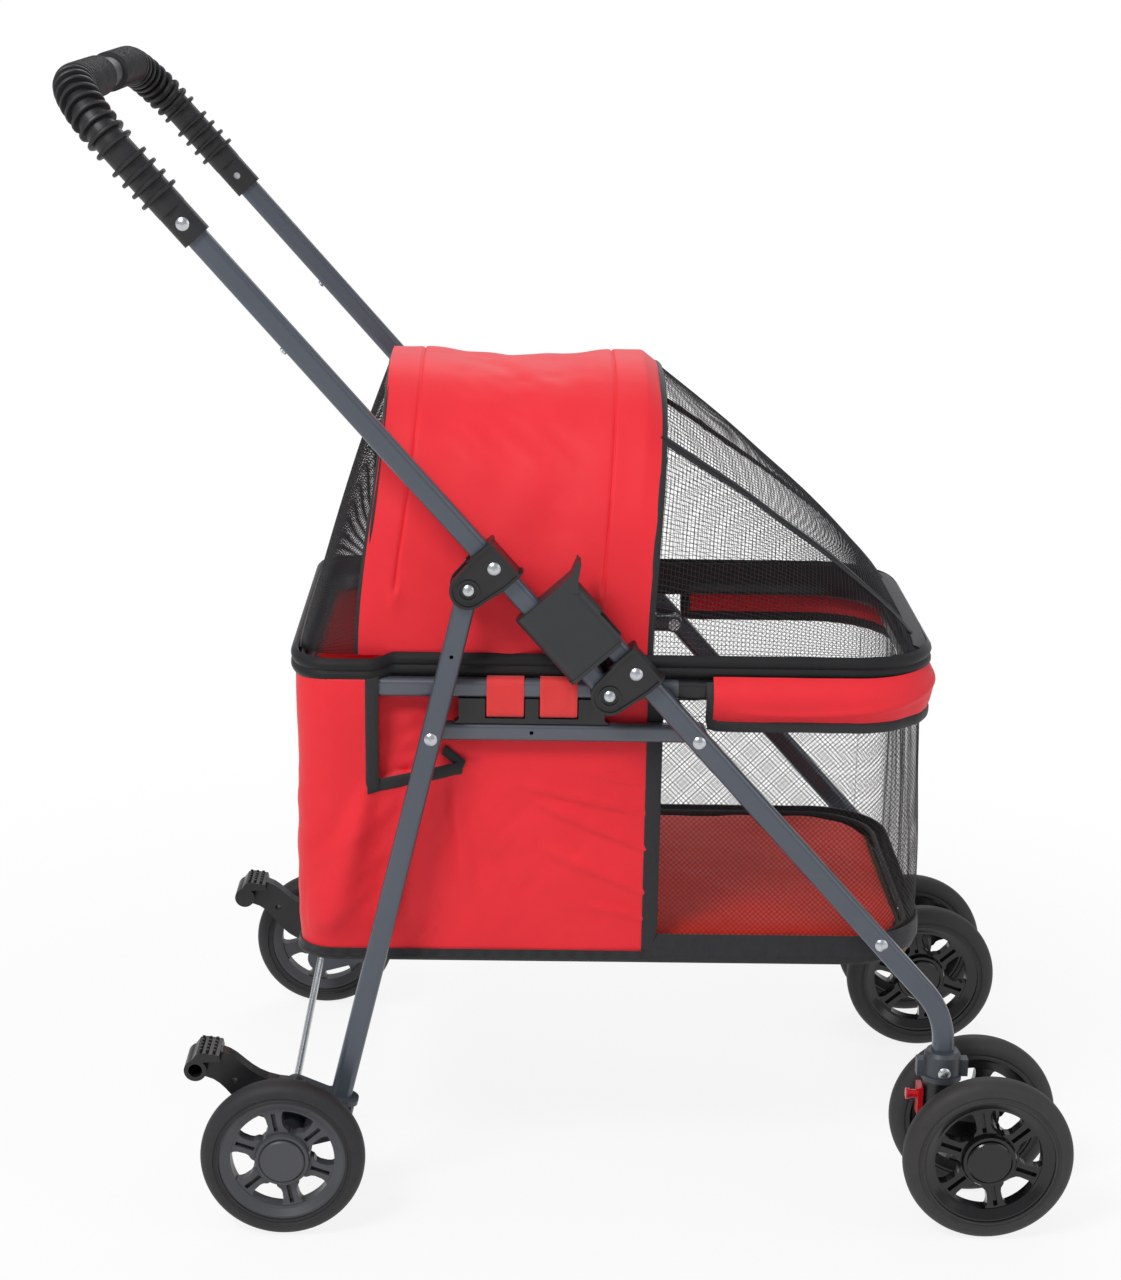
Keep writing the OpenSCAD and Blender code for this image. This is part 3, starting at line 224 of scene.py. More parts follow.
@dataclass(frozen=True)
class PowderCoat:
    """Powder-coated steel tube: satin, with the faint orange peel of baked powder."""

    name: str = "powder_coat_blue_grey"
    colour: str = "#565c66"
    dark: str = "#4c525c"

    def build(self) -> bpy.types.Material:
        """Builds the coat: slightly metallic, with fine peel and soft colour drift."""
        s = Shader(self.name, self.colour, 0.34, Metallic=0.35, Coat_Weight=0.25, Coat_Roughness=0.25)
        s.tint(s.noise(60), self.dark, self.colour)
        s.bump(s.noise(1.6), 0.04, 0.4)
        return s.material


@dataclass(frozen=True)
class MouldedPlastic:
    """Injection-moulded nylon or ABS with a spark-eroded grain."""

    name: str
    colour: str
    roughness: float = 0.42
    grain_mm: float = 0.9
    relief_mm: float = 0.05

    def build(self) -> bpy.types.Material:
        """Builds the plastic: fine grain, and duller patches where hands and soles rub."""
        s = Shader(self.name, self.colour, self.roughness, IOR=1.5)
        s.rough(s.noise(25, 3), self.roughness - 0.06, self.roughness + 0.08)
        s.bump(s.noise(self.grain_mm), self.relief_mm, 0.5)
        return s.material


@dataclass(frozen=True)
class ZincPlate:
    """Bright zinc on turned or headed steel, faintly clouded."""

    name: str = "zinc_plate"
    colour: str = "#c9ccd0"

    def build(self) -> bpy.types.Material:
        """Builds the plating: metal with soft roughness clouds."""
        s = Shader(self.name, self.colour, 0.3, Metallic=1.0)
        s.rough(s.noise(4, 3), 0.24, 0.4)
        s.bump(s.noise(0.7), 0.02, 0.4)
        return s.material


@dataclass(frozen=True)
class FoamTyre:
    """Moulded EVA foam tyre: matt, closed-cell, with a little dust in the pores."""

    name: str
    colour: str
    light: str

    def build(self) -> bpy.types.Material:
        """Builds the foam: matt, with pores and a faint bloom."""
        s = Shader(self.name, self.colour, 0.62, IOR=1.45)
        s.tint(s.noise(9, 4), self.colour, self.light)
        s.bump(s.noise(1.1, 3), 0.08, 0.5)
        return s.material


@dataclass(frozen=True)
class GripRubber:
    """Thermoplastic rubber of the bellows grip, with a soft sheen."""

    name: str = "grip_rubber"
    colour: str = "#1c1c1e"

    def build(self) -> bpy.types.Material:
        """Builds the rubber: sheen over a fine matt skin."""
        s = Shader(self.name, self.colour, 0.48, IOR=1.52)
        s.rough(s.noise(18), 0.42, 0.56)
        s.bump(s.noise(0.8), 0.04, 0.4)
        return s.material


@dataclass(frozen=True)
class Polyester:
    """Plain-woven coated polyester, as on carriers: even colour and a soft sheen."""

    name: str
    colour: str
    dark: str
    pitch_mm: float = 1.1  # real threads are 0.3 mm apart, which is too fine to show
    sheen: float = 0.25

    def build(self) -> bpy.types.Material:
        """Builds the cloth: weave, slow colour drift and small puckers."""
        sheen = {"Sheen_Weight": self.sheen, "Sheen_Roughness": 0.4}
        s = Shader(self.name, self.colour, 0.62, Specular_IOR_Level=0.35, **sheen)
        s.tint(s.noise(70, 3), self.dark, self.colour)
        s.bump(s.weave(self.pitch_mm), 0.08, 0.35)
        s.bump(s.noise(14), 0.5, 0.35)
        return s.material


@dataclass(frozen=True)
class Webbing:
    """Black woven tape and binding: ribs across the tape, matt."""

    name: str = "binding_tape"
    colour: str = "#161618"
    light: str = "#242427"

    def build(self) -> bpy.types.Material:
        """Builds the tape: grosgrain ribs and a dry surface."""
        s = Shader(self.name, self.colour, 0.7, Sheen_Weight=0.15, Sheen_Roughness=0.5)
        s.tint(s.noise(3, 3), self.colour, self.light)
        s.bump(s.weave(1.4), 0.18, 0.6)
        return s.material


@dataclass(frozen=True)
class NetYarn:
    """Knitted black polyester net: smooth multifilament yarn."""

    name: str = "net_yarn"
    colour: str = "#1d1d20"

    def build(self) -> bpy.types.Material:
        """Builds the yarn: dark, with the dull shine of filament."""
        s = Shader(self.name, self.colour, 0.5, Specular_IOR_Level=0.4)
        s.bump(s.noise(0.5), 0.05, 0.5)
        return s.material


@dataclass(frozen=True)
class FibreBoard:
    """Pressed fibre board under the floor pad."""

    name: str = "fibre_board"

    def build(self) -> bpy.types.Material:
        """Builds the board: fibres and specks."""
        s = Shader(self.name, "#8a6b4c", 0.85)
        s.tint(s.noise(3, 4, (1, 4, 1)), "#6f5439", "#937453")
        s.bump(s.noise(1.5, 3), 0.15, 0.6)
        return s.material


class Finish(Enum):
    """Every finish on the stroller. A member has the name of the record's slot, in capitals."""

    TUBE = PowderCoat()
    RAIL = PowderCoat("powder_coat_rail", "#5c6068", "#53575f")
    BRACKET = MouldedPlastic("bracket_nylon", "#1b1b1d", 0.36, 0.8, 0.04)
    SLEEVE = MouldedPlastic("sleeve_nylon", "#2c2d30", 0.5, 1.2, 0.1)
    COLLAR = MouldedPlastic("collar_nylon", "#42464c", 0.45)
    ZINC = ZincPlate()
    GRIP = GripRubber()
    PEDAL = MouldedPlastic("pedal_nylon", "#19191b", 0.4)
    REAR_TYRE = FoamTyre("rear_tyre_foam", "#262527", "#302f31")
    FRONT_TYRE = FoamTyre("front_tyre_foam", "#302e2f", "#3b393a")
    REAR_RIM = MouldedPlastic("rear_rim_nylon", "#46474b", 0.4)
    FRONT_RIM = MouldedPlastic("front_rim_gloss", "#101011", 0.16, 1.5, 0.01)
    FORK = MouldedPlastic("fork_nylon", "#18181a", 0.38)
    LOCK_RED = MouldedPlastic("lock_red_abs", "#c8141f", 0.25, 1.2, 0.02)
    RED_FABRIC = Polyester("red_polyester", "#f72d38", "#e4222f", 1.1, 0.12)
    STRAP = Polyester("red_strap", "#f04642", "#dd2f31", 1.6, 0.35)
    PAD = Polyester("pad_polyester", "#ea2c0c", "#dc2208", 2.2, 0.1)
    MESH = NetYarn()
    BOARD = FibreBoard()
    BLACK_FABRIC = Webbing()
    # three kinds of the black_fabric slot
    BASE = Polyester("base_polyester", "#18181a", "#131315")
    PIPING = Polyester("piping_polyester", "#19191b", "#121214", 0.9, 0.2)
    ZIP = MouldedPlastic("zip_coil_nylon", "#131315", 0.35, 1.0, 0.12)

    @property
    def slot(self) -> str:
        """The record's material slot that the finish belongs to."""
        black = (Finish.BASE, Finish.PIPING, Finish.ZIP)
        return "black_fabric" if self in black else self.name.lower()

    def material(self) -> bpy.types.Material:
        """The finish's material, built the first time it is asked for."""
        return bpy.data.materials.get(self.value.name) or self.value.build()


# ---------------------------------------------------------------- modelling helpers


def mode(name: str) -> None:
    """Switches the active object to a mode."""
    bpy.ops.object.mode_set(mode=name)


def deselect() -> None:
    """Leaves edit mode and deselects everything."""
    if bpy.context.object and bpy.context.object.mode != "OBJECT":
        mode("OBJECT")
    bpy.ops.object.select_all(action="DESELECT")


def take(obj: Object) -> None:
    """Makes an object the only selected and active one."""
    deselect()
    obj.select_set(True)
    bpy.context.view_layer.objects.active = obj


def named(name: str) -> Object:
    """Names the object that an operator just made."""
    obj = bpy.context.object
    obj.name = obj.data.name = name
    return obj


def in_edit(obj: Object, *steps: Callable[[], object]) -> None:
    """Runs operators in edit mode on the whole mesh.

    Args:
        obj: The object to edit.
        *steps: The operator calls, in order.
    """
    take(obj)
    mode("EDIT")
    bpy.ops.mesh.select_all(action="SELECT")
    for step in steps:
        step()
    mode("OBJECT")


def in_edit_where(obj: Object, kind: str, test: Callable, step: Callable[[], object]) -> None:
    """Runs one operator in edit mode on the edges or faces that pass a test.

    Args:
        obj: The object to edit.
        kind: "EDGE" or "FACE".
        test: Says whether an edge or face is taken.
        step: The operator call.
    """
    take(obj)
    mode("EDIT")
    bpy.ops.mesh.select_mode(type=kind)
    bpy.ops.mesh.select_all(action="DESELECT")
    mode("OBJECT")
    for item in obj.data.edges if kind == "EDGE" else obj.data.polygons:
        item.select = test(item)
    mode("EDIT")
    step()
    bpy.ops.mesh.select_mode(type="FACE")
    mode("OBJECT")


def face_outward() -> None:
    """Turns the selected faces outward."""
    bpy.ops.mesh.normals_make_consistent(inside=False)


def modify(obj: Object, kind: str, **settings: object) -> None:
    """Adds a modifier and applies it.

    Args:
        obj: The object.
        kind: The modifier's type.
        **settings: Its properties.
    """
    take(obj)
    modifier = obj.modifiers.new(kind.lower(), kind)
    for key, value in settings.items():
        setattr(modifier, key, value)
    bpy.ops.object.modifier_apply(modifier=modifier.name)


def dress(
    obj: Object, finish: Finish, replaces: Iterable[str] = (), angle: float = 40, body: str = "carrier"
) -> Object:
    """Gives a finished piece its shading, finish and body.

    Args:
        obj: The piece.
        finish: Its finish.
        replaces: CAD nodes it stands for.
        angle: Edges sharper than this stay sharp, in degrees.
        body: The CAD body it rides on.

    Returns:
        The piece.
    """
    take(obj)
    bpy.ops.object.shade_smooth_by_angle(angle=math.radians(angle))
    obj.data.materials.clear()
    obj.data.materials.append(finish.material())
    finish.slot
    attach(obj, body)
    if replaces:
        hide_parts(*replaces)
    LOG.info("%s: %d faces on %s", obj.name, len(obj.data.polygons), body)
    return obj


def laid_sheet(name: str, columns: int, rows: int, place: Place, size: tuple[float, float]) -> Object:
    """Lays a grid of cloth on a form.

    Args:
        name: The new object's name.
        columns: Cells along u.
        rows: Cells along v.
        place: Gives the point for u and v, each from 0 to 1.
        size: Width and height of the cut in metres, for its UV.

    Returns:
        The sheet, as an open grid.
    """
    deselect()
    bpy.ops.mesh.primitive_grid_add(x_subdivisions=columns, y_subdivisions=rows, size=1)
    sheet = named(name)
    for loop in sheet.data.uv_layers[0].data:
        loop.uv = (loop.uv[0] * size[0], loop.uv[1] * size[1])
    for vertex in sheet.data.vertices:
        vertex.co = place(vertex.co.x + 0.5, vertex.co.y + 0.5)
    return sheet


def thicken(sheet: Object, thickness: float, offset: float = -1.0) -> None:
    """Gives a sheet its thickness in metres."""
    modify(sheet, "SOLIDIFY", thickness=thickness, offset=offset, use_even_offset=False)


def netted(sheet: Object, yarn: float, thickness: float, diamonds: bool) -> None:
    """Cuts a sheet's cells out, so that yarn is left between them.

    Args:
        sheet: The open grid.
        yarn: Width of the yarn in metres.
        thickness: Its thickness in metres.
        diamonds: Turns the cells by 45 degrees first.
    """
    if diamonds:
        before = {edge.key for edge in sheet.data.edges}
        in_edit(sheet, lambda: bpy.ops.mesh.poke())
        uses = {}
        for polygon in sheet.data.polygons:
            for key in polygon.edge_keys:
                uses[key] = uses.get(key, 0) + 1
        in_edit_where(
            sheet,
            "EDGE",
            lambda edge: edge.key in before and uses.get(edge.key, 0) == 2,
            lambda: bpy.ops.mesh.dissolve_edges(use_verts=False),
        )
    in_edit(
        sheet,
        lambda: bpy.ops.mesh.inset(thickness=yarn / 2, use_individual=True, use_even_offset=True),
        lambda: bpy.ops.mesh.delete(type="FACE"),
    )
    thicken(sheet, thickness, 0)


def net_area(panel: Object, full: float, held: float = 1.0) -> float:
    """The cloth area that a net panel states, from its yarn.

    Args:
        panel: The finished net.
        full: The area of its outline.
        held: The share of the stated cloth that shows, where the rest is in the seams.

    Returns:
        The area, at least LEAST_CLOTH of the outline and at most all of it.
    """
    measured = sum(p.area for p in panel.data.polygons) / 2
    return max(min(measured / held, full), LEAST_CLOTH * full)


def shares(count: int) -> list[float]:
    """Even steps from 0 to 1."""
    return [i / count for i in range(count + 1)]


def run_along(points: Sequence[Vector]) -> list[float]:
    """The distance along a line at each of its points."""
    run = [0.0]
    for a, b in zip(points, points[1:]):
        run.append(run[-1] + (b - a).length)
    return run


def headings(line: Sequence[Vector]) -> list[Vector]:
    """The way that a line runs at each of its points."""
    last = len(line) - 1
    return [line[min(i + 1, last)] - line[max(i - 1, 0)] for i in range(len(line))]


def tape(
    name: str,
    line: Sequence[Vector],
    across: Vector | Sequence[Vector],
    cut: Cut,
    closed: bool = False,
    finish: Finish = Finish.BLACK_FABRIC,
    body: str = "carrier",
) -> Object:
    """Sweeps a flat tape with round edges along a line, and dresses it.

    Args:
        name: The piece's name.
        line: The tape's middle line.
        across: The tape's width direction, one for all or one for each point.
        cut: Its width and thickness.
        closed: Joins the last point to the first.
        finish: Its finish.
        body: The CAD body it rides on.

    Returns:
        The tape, closed at its ends.
    """
    count, sides = len(line), 10
    widths = [across] * count if isinstance(across, Vector) else across
    ring = [(math.cos(a), math.sin(a)) for a in (2 * math.pi * i / sides for i in range(sides))]
    points, faces = [], []
    for i, (p, w) in enumerate(zip(line, widths)):
        ahead = line[(i + 1) % count] if closed or i < count - 1 else p
        behind = line[i - 1] if closed or i > 0 else p
        side = w.normalized()
        up = (ahead - behind).cross(side).normalized()
        points += [p + side * (c * cut[0] / 2) + up * (s * cut[1] / 2) for c, s in ring]
    for i in range(count if closed else count - 1):
        a, b = i * sides, (i + 1) % count * sides
        faces += [(a + k, a + (k + 1) % sides, b + (k + 1) % sides, b + k) for k in range(sides)]
    if not closed:
        faces += [tuple(range(sides - 1, -1, -1)), tuple(range((count - 1) * sides, count * sides))]
    deselect()
    bpy.ops.mesh.primitive_cylinder_add(vertices=sides, radius=0.5, depth=1, end_fill_type="NGON")
    piece = named(name)
    piece.data.clear_geometry()
    piece.data.from_pydata(points, [], faces)
    piece.data.update()
    uv = piece.data.uv_layers.new(name="UVMap")
    run = run_along(line)
    for loop in piece.data.loops:
        station, k = divmod(loop.vertex_index, sides)
        uv.data[loop.index].uv = (run[station], ring[k][0] * cut[0] / 2)
    in_edit(piece, face_outward)
    return dress(piece, finish, body=body)


def inflate(piece: Object, pressure: float, cap: float) -> None:
    """Blows a closed piece up with a short cloth simulation.

    Args:
        piece: The closed mesh.
        pressure: The simulation's pressure.
        cap: The furthest that a vertex may move, in metres.
    """
    take(piece)
    before = [v.co.copy() for v in piece.data.vertices]
    bpy.ops.object.modifier_add(type="CLOTH")
    cloth = piece.modifiers[-1]
    cloth.settings.use_pressure = True
    cloth.settings.uniform_pressure_force = pressure
    cloth.settings.effector_weights.gravity = 0.0
    cloth.point_cache.frame_start, cloth.point_cache.frame_end = 1, SIM_FRAMES
    for number in range(1, SIM_FRAMES + 1):
        bpy.context.scene.frame_set(number)
        bpy.context.view_layer.update()
    bpy.ops.object.modifier_apply(modifier=cloth.name)
    for vertex, old in zip(piece.data.vertices, before):
        move = vertex.co - old
        if move.length > cap:
            vertex.co = old + move * (cap / move.length)
    bpy.context.scene.frame_set(1)


# ---------------------------------------------------------------- the carrier's form


def smooth(x: float) -> float:
    """A smooth step from 0 to 1 for x from 0 to 1."""
    x = min(max(x, 0.0), 1.0)
    return x * x * (3 - 2 * x)


def ridge(distance: float, width: float) -> float:
    """The height of a soft ridge, 1 on its line and near 0 a width away from it."""
    return math.exp(-((distance / width) ** 2) * 2.5)


def folds(x: float, y: float, z: float, wave: float, seed: float) -> float:
    """Soft folds of slack cloth, from -1 to 1.

    Args:
        x: Distance along the cloth in metres.
        y: Distance across it.
        z: A third coordinate, for cloth that turns a corner.
        wave: Length of a fold in metres.
        seed: Moves the pattern.

    Returns:
        The fold's height.
    """
    return noise.noise(Vector((x / wave + seed, y / wave, z / wave)))


def between(marks: Sequence[float], step: float) -> list[float]:
    """Distances that hit every mark and lie about a step apart."""
    found = [marks[0]]
    for a, b in zip(marks, marks[1:]):
        count = max(1, round((b - a) / step))
        found += [a + (b - a) * (i + 1) / count for i in range(count)]
    return found


@dataclass(frozen=True)
class Crease:
    """A fold in a wall, as a soft ridge between two points of it."""

    start: tuple[float, float]
    end: tuple[float, float]
    width: float
    height: float
    past: float = 0.2  # how far it fades out past its ends, as a share of its length

    def at(self, x: float, z: float) -> float:
        """How far the fold lifts the wall at a point."""
        a, b, p = Vector(self.start), Vector(self.end), Vector((x, z))
        run = b - a
        t = (p - a).dot(run) / run.length_squared
        if not -self.past < t < 1 + self.past:
            return 0.0
        off = (p - a - run * t).length
        fade = smooth((t + self.past) / 0.45) * smooth((1 + self.past - t) / 0.45)
        return self.height * fade * ridge(off, self.width * (0.6 + 0.8 * max(t, 0)))


@dataclass(frozen=True)
class RimLoop:
    """The outer line of one rim tube, which the cloth passes outside."""

    sign: int
    end: float
    half: float
    low: float
    high: float
    corner: float

    @classmethod
    def from_node(cls, node: str, front: bool, corner: float) -> "RimLoop":
        """Reads a tube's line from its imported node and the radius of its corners."""
        low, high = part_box(node)
        return cls(1 if front else -1, high.x if front else low.x, high.y, low.z, high.z, corner)

    def push(self, spot: Spot, room: float) -> float:
        """How far a point of the wall moves out to clear the tube.

        Args:
            spot: The point of the wall and its outward normal.
            room: The clearance that the cloth keeps from the tube.

        Returns:
            The distance along the normal.
        """
        point, normal = spot
        moved = 0.0
        for _ in range(8):
            p = point + normal * moved
            qx = self.sign * (p.x - self.end) + self.corner
            qy = abs(p.y) - self.half + self.corner
            outside = math.hypot(max(qx, 0), max(qy, 0)) + min(max(qx, qy), 0) - self.corner
            if outside >= room:
                break
            moved += room - outside
        return moved


def off(spot: Spot, out: float, z: float) -> Vector:
    """The point at a distance outside a spot of the plan and a height."""
    return spot[0] + spot[1] * out + Vector((0, 0, z))


@dataclass(frozen=True)
class CarrierForm:
    """The carrier's lines in metres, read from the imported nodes."""

    rear: float
    front: float
    half: float
    floor: float
    top: float
    zip_top: float
    window: float
    notch: float
    band_start: float
    rear_loop: RimLoop
    front_loop: RimLoop
    rear_r: float = 0.028
    front_r: float = 0.062

    @classmethod
    def from_frame(cls) -> "CarrierForm":
        """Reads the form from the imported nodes' boxes."""
        low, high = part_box("zip_band")
        notch_from_rear, rear_corner, front_corner = 0.062, 0.032, 0.068
        return cls(
            rear=low.x,
            front=high.x,
            half=high.y,
            floor=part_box("base_panel")[0].z,
            top=low.z,
            zip_top=high.z,
            window=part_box("basket_mesh")[0].x,
            notch=low.x + notch_from_rear,
            band_start=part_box("rim_knuckles")[1].x,
            rear_loop=RimLoop.from_node("rear_rim_loop", False, rear_corner),
            front_loop=RimLoop.from_node("front_rim_loop", True, front_corner),
        )

    def plan_half(self, x: float) -> float:
        """Half of the carrier's width at x."""
        r = self.front_r if x > self.front - self.front_r else self.rear_r
        over = max(x - (self.front - self.front_r), self.rear + self.rear_r - x, 0)
        return self.half - r + math.sqrt(max(r * r - over * over, 0.0))


class Walk:
    """A line round one end of the carrier's plan, from the right side to the left."""

    def __init__(
        self, form: CarrierForm, front: bool, grow: float = 0.0, start: float | None = None
    ) -> None:
        """Measures the line.

        Args:
            form: The carrier's form.
            front: Goes round the front end, or else the back end.
            grow: How far outside the walls the line runs.
            start: Where on the sides it starts and ends, or the window's edge.
        """
        self.sign = 1 if front else -1
        self.r = (form.front_r if front else form.rear_r) + grow
        self.end = (form.front if front else form.rear) + self.sign * grow
        self.half = form.half + grow
        self.start = form.window if start is None else start
        self.side = abs(self.end - self.start) - self.r
        self.bend = self.r * math.pi / 2
        self.length = 2 * self.side + 2 * self.bend + 2 * (self.half - self.r)

    def at(self, s: float) -> Spot:
        """The point and outward normal at a distance along the line.

        Args:
            s: The distance from its start on the right side.

        Returns:
            The point at height 0, and the unit normal.
        """
        mirror = 1
        if s > self.length / 2:
            s, mirror = self.length - s, -1
        k = self.sign
        if s < self.side:
            point, normal = (self.start + k * s, -self.half), (0.0, -1.0)
        elif s < self.side + self.bend:
            a = (s - self.side) / self.r
            normal = (k * math.sin(a), -math.cos(a))
            cx, cy = self.end - k * self.r, -(self.half - self.r)
            point = (cx + self.r * normal[0], cy + self.r * normal[1])
        else:
            y = -(self.half - self.r) + s - self.side - self.bend
            point, normal = (self.end, y), (float(k), 0.0)
        return tuple(Vector((x, y * mirror, 0)) for x, y in (point, normal))


class Ring:
    """The closed line round the whole plan, as the back walk and then the front one."""

    def __init__(self, form: CarrierForm, grow: float = 0.0) -> None:
        """Joins the two walks."""
        self.back, self.front = Walk(form, False, grow), Walk(form, True, grow)
        self.length = self.back.length + self.front.length

    def at(self, s: float) -> Spot:
        """The point and outward normal at a distance along the ring."""
        s = s % self.length
        if s < self.back.length:
            return self.back.at(s)
        return self.front.at(self.length - s)

    def stations(self, count: int) -> list[float]:
        """Even distances round the ring, the last one at its start again."""
        return [self.length * i / count for i in range(count + 1)]


def hang(
    name: str, stations: Sequence[float], heights: Sequence[float], place: Place, closed: bool = False
) -> Object:
    """Lays cloth on given distances along a line and heights over it.

    Args:
        name: The new object's name.
        stations: Distances along the line.
        heights: Heights, or shares of the cloth's own height.
        place: Gives the point for a distance and a height.
        closed: The last station is the first one again.

    Returns:
        The sheet, as an open grid with its UV in metres.
    """
    columns, rows = len(stations) - 1, len(heights) - 1

    def spot(u: float, v: float) -> Vector:
        """The form's point for a cell's corner."""
        return place(stations[round(u * columns)], heights[round(v * rows)])

    size = (stations[-1] - stations[0], heights[-1] - heights[0])
    sheet = laid_sheet(name, columns, rows, spot, size)
    if closed:
        in_edit(sheet, lambda: bpy.ops.mesh.remove_doubles(threshold=MERGE))
    return sheet


@dataclass
class Basket:
    """The soft basket: back and side walls, net front, base, mat and bindings."""

    form: CarrierForm
    cloth: float = 0.0011
    room: float = 0.0016  # between the cloth and the rim tubes
    hem: float = 0.0086  # the black base band under the red walls
    net_hem: float = 0.0235  # and under the net
    lip: float = 0.087024  # from the zip band down to the foot of the notch
    lip_rise: float = 0.015
    lip_run: float = 0.071
    drape: float = 0.125  # how far below the rear tube the wall still stands out
    pulled: float = 0.09  # how far forward of the notch's edge its cloth is pulled back
    net_top: float = 0.034
    net_pitch: float = 0.00305
    yarn: float = 0.00032
    net_thick: float = 0.00025
    slack: float = 0.0035
    nose: float = 0.0042  # how far the foot of the net bulges at the front
    mat_inset: float = 0.0055
    mat_room: float = 0.0035
    under: float = 0.0012  # the base cloth's height over the base panel's foot
    base_thick: float = 0.0012
    band_thick: float = 0.0015
    board_corner: float = 0.03
    board_ease: float = 0.0006
    voxel: float = 0.005  # of the mat before it is blown up
    pressure: float = 4.0
    puff: float = 0.005
    fill: float = 0.4
    folded: float = 0.22  # the share of its height that the folded basket keeps
    window_cut: Cut = (0.0125, 0.0024)
    notch_cut: Cut = (0.0105, 0.0022)
    foot_cut: Cut = (0.0105, 0.0024)
    end_cut: Cut = (0.0085, 0.0026)
    piping: Cut = (0.0042, 0.0042)
    creases: tuple[Crease, ...] = (
        Crease((-0.166, 0.345), (-0.196, 0.225), 0.020, 0.0085),
        Crease((-0.128, 0.345), (-0.140, 0.235), 0.015, 0.0080),
        Crease((-0.098, 0.352), (-0.086, 0.262), 0.010, 0.0045),
        Crease((0.052, 0.330), (-0.040, 0.352), 0.0045, 0.0032),
        Crease((0.054, 0.300), (-0.030, 0.338), 0.0050, 0.0036),
        Crease((0.054, 0.352), (0.000, 0.366), 0.0035, 0.0022),
        Crease((0.056, 0.262), (-0.024, 0.300), 0.0055, 0.0028),
        Crease((0.056, 0.240), (0.010, 0.252), 0.0040, 0.0018),
        Crease((-0.130, 0.216), (-0.112, 0.236), 0.0035, 0.0026),
    )

    def lip_z(self, x: float) -> float:
        """Height of the notch's foot at x, which climbs towards the front."""
        return self.form.top - self.lip + self.lip_rise * (x - self.form.notch) / self.lip_run

    def stand_out(self, spot: Spot, z: float) -> float:
        """How far the wall stands out over the rear rim tube, less lower down and none in the notch.

        Args:
            spot: The point of the plan and its outward normal.
            z: The height.

        Returns:
            The distance along the normal.
        """
        form, loop, x = self.form, self.form.rear_loop, spot[0].x
        push = loop.push(spot, self.room)
        drape = smooth((z - loop.low + self.drape) / self.drape) ** 1.2
        tuck = 1 - 0.3 * smooth((z - loop.high) / (form.top - loop.high + 0.0001))
        if x < form.notch:
            return push * drape * tuck
        beside = 1 - smooth((x - form.notch) / (self.lip_run * 1.15))
        return push * drape * beside * smooth((self.lip_z(x) - z) / 0.006)

    def creased(self, x: float, z: float, right: bool) -> float:
        """How far the creases lift a side wall; the left side has them a little further forward."""
        mirror = 1.0 if right else 0.82
        return sum(c.at(x * mirror + (1 - mirror) * 0.02, z) for c in self.creases)

    def wall_point(self, walk: Walk, s: float, z: float) -> Vector:
        """The point of the red wall at a distance round the carrier and a height."""
        form, spot = self.form, walk.at(s)
        point, normal = spot
        low, high = form.floor + self.hem, form.top - 0.062
        t = (z - low) / (high - low)
        belly = math.sin(math.pi * t) ** 0.8 if 0 < t < 1 else 0.0
        held = smooth((form.window - point.x) / 0.05)
        lift = self.creased(point.x, z, point.y < 0) if abs(normal.y) > 0.7 else 0.0
        drift = 0.5 * folds(s, z * 0.4, 0, 0.06, 3.1) + 0.3 * folds(s + z * 0.5, z, 0, 0.032, 9.7)
        fine = 0.0011 * folds(s * 1.4 + z, z * 0.7, 0, 0.019, 4.4)
        soft = belly * held * (self.slack * 0.7 + 0.0045 * drift + fine) + lift * min(1.0, belly * 2)
        if form.notch < point.x < form.notch + self.pulled and z > self.lip_z(point.x):
            # the cloth inside the notch is pulled back to the frame in sharp little folds
            pull = smooth((form.notch + self.pulled - point.x) / 0.03)
            soft = -0.004 * pull * (0.5 + 0.5 * folds(s + z * 0.8, z * 1.2, 0, 0.016, 2.2))
        return off(spot, self.stand_out(spot, z) + soft - 0.0004, z)

    def walls(self) -> Object:
        """The red wall, one cloth from the window on one side round the back to the other."""
        form, walk = self.form, Walk(self.form, False)
        low, foot = form.floor + self.hem - 0.002, self.lip_z(form.notch)
        cut, step = form.window - form.notch, 0.0016
        ends = (cut - step, cut + step, walk.length - cut - step, walk.length - cut + step)
        stations = between([0, *ends, walk.length], 0.0031)
        heights = between([low, foot, form.rear_loop.low, form.rear_loop.high, form.top], 0.0028)
        wall = hang("basket_walls", stations, heights, lambda s, z: self.wall_point(walk, s, z))

        def in_notch_edge(face: bpy.types.MeshPolygon) -> bool:
            """Whether a face bridges the step at the notch's rear edge."""
            ys = [abs(wall.data.vertices[i].co.y) for i in face.vertices]
            beside = abs(face.center.x - form.notch) < step
            return beside and face.center.z > foot and max(ys) - min(ys) > 0.003

        in_edit_where(wall, "FACE", in_notch_edge, lambda: bpy.ops.mesh.delete(type="FACE"))
        thicken(wall, self.cloth)
        return dress(wall, Finish.RED_FABRIC, ["basket_fabric"], 70)

    def net_point(self, walk: Walk, s: float, z: float) -> Vector:
        """The point of the net front, a little fuller towards its foot."""
        spot = point, normal = walk.at(s)
        low, high = self.form.floor, self.form.top - self.net_top
        t = min(max((z - low) / (high - low), 0.0), 1.0)
        full = self.nose * max(normal.x, 0) * (1 - smooth(t)) + 0.0018 * math.sin(math.pi * t)
        held = smooth((point.x - 0.18) / 0.05) * (0.4 + 0.6 * t)
        return off(spot, full + 0.0022 * folds(s, z * 0.22, 0, 0.022, 6.3) * held, z)

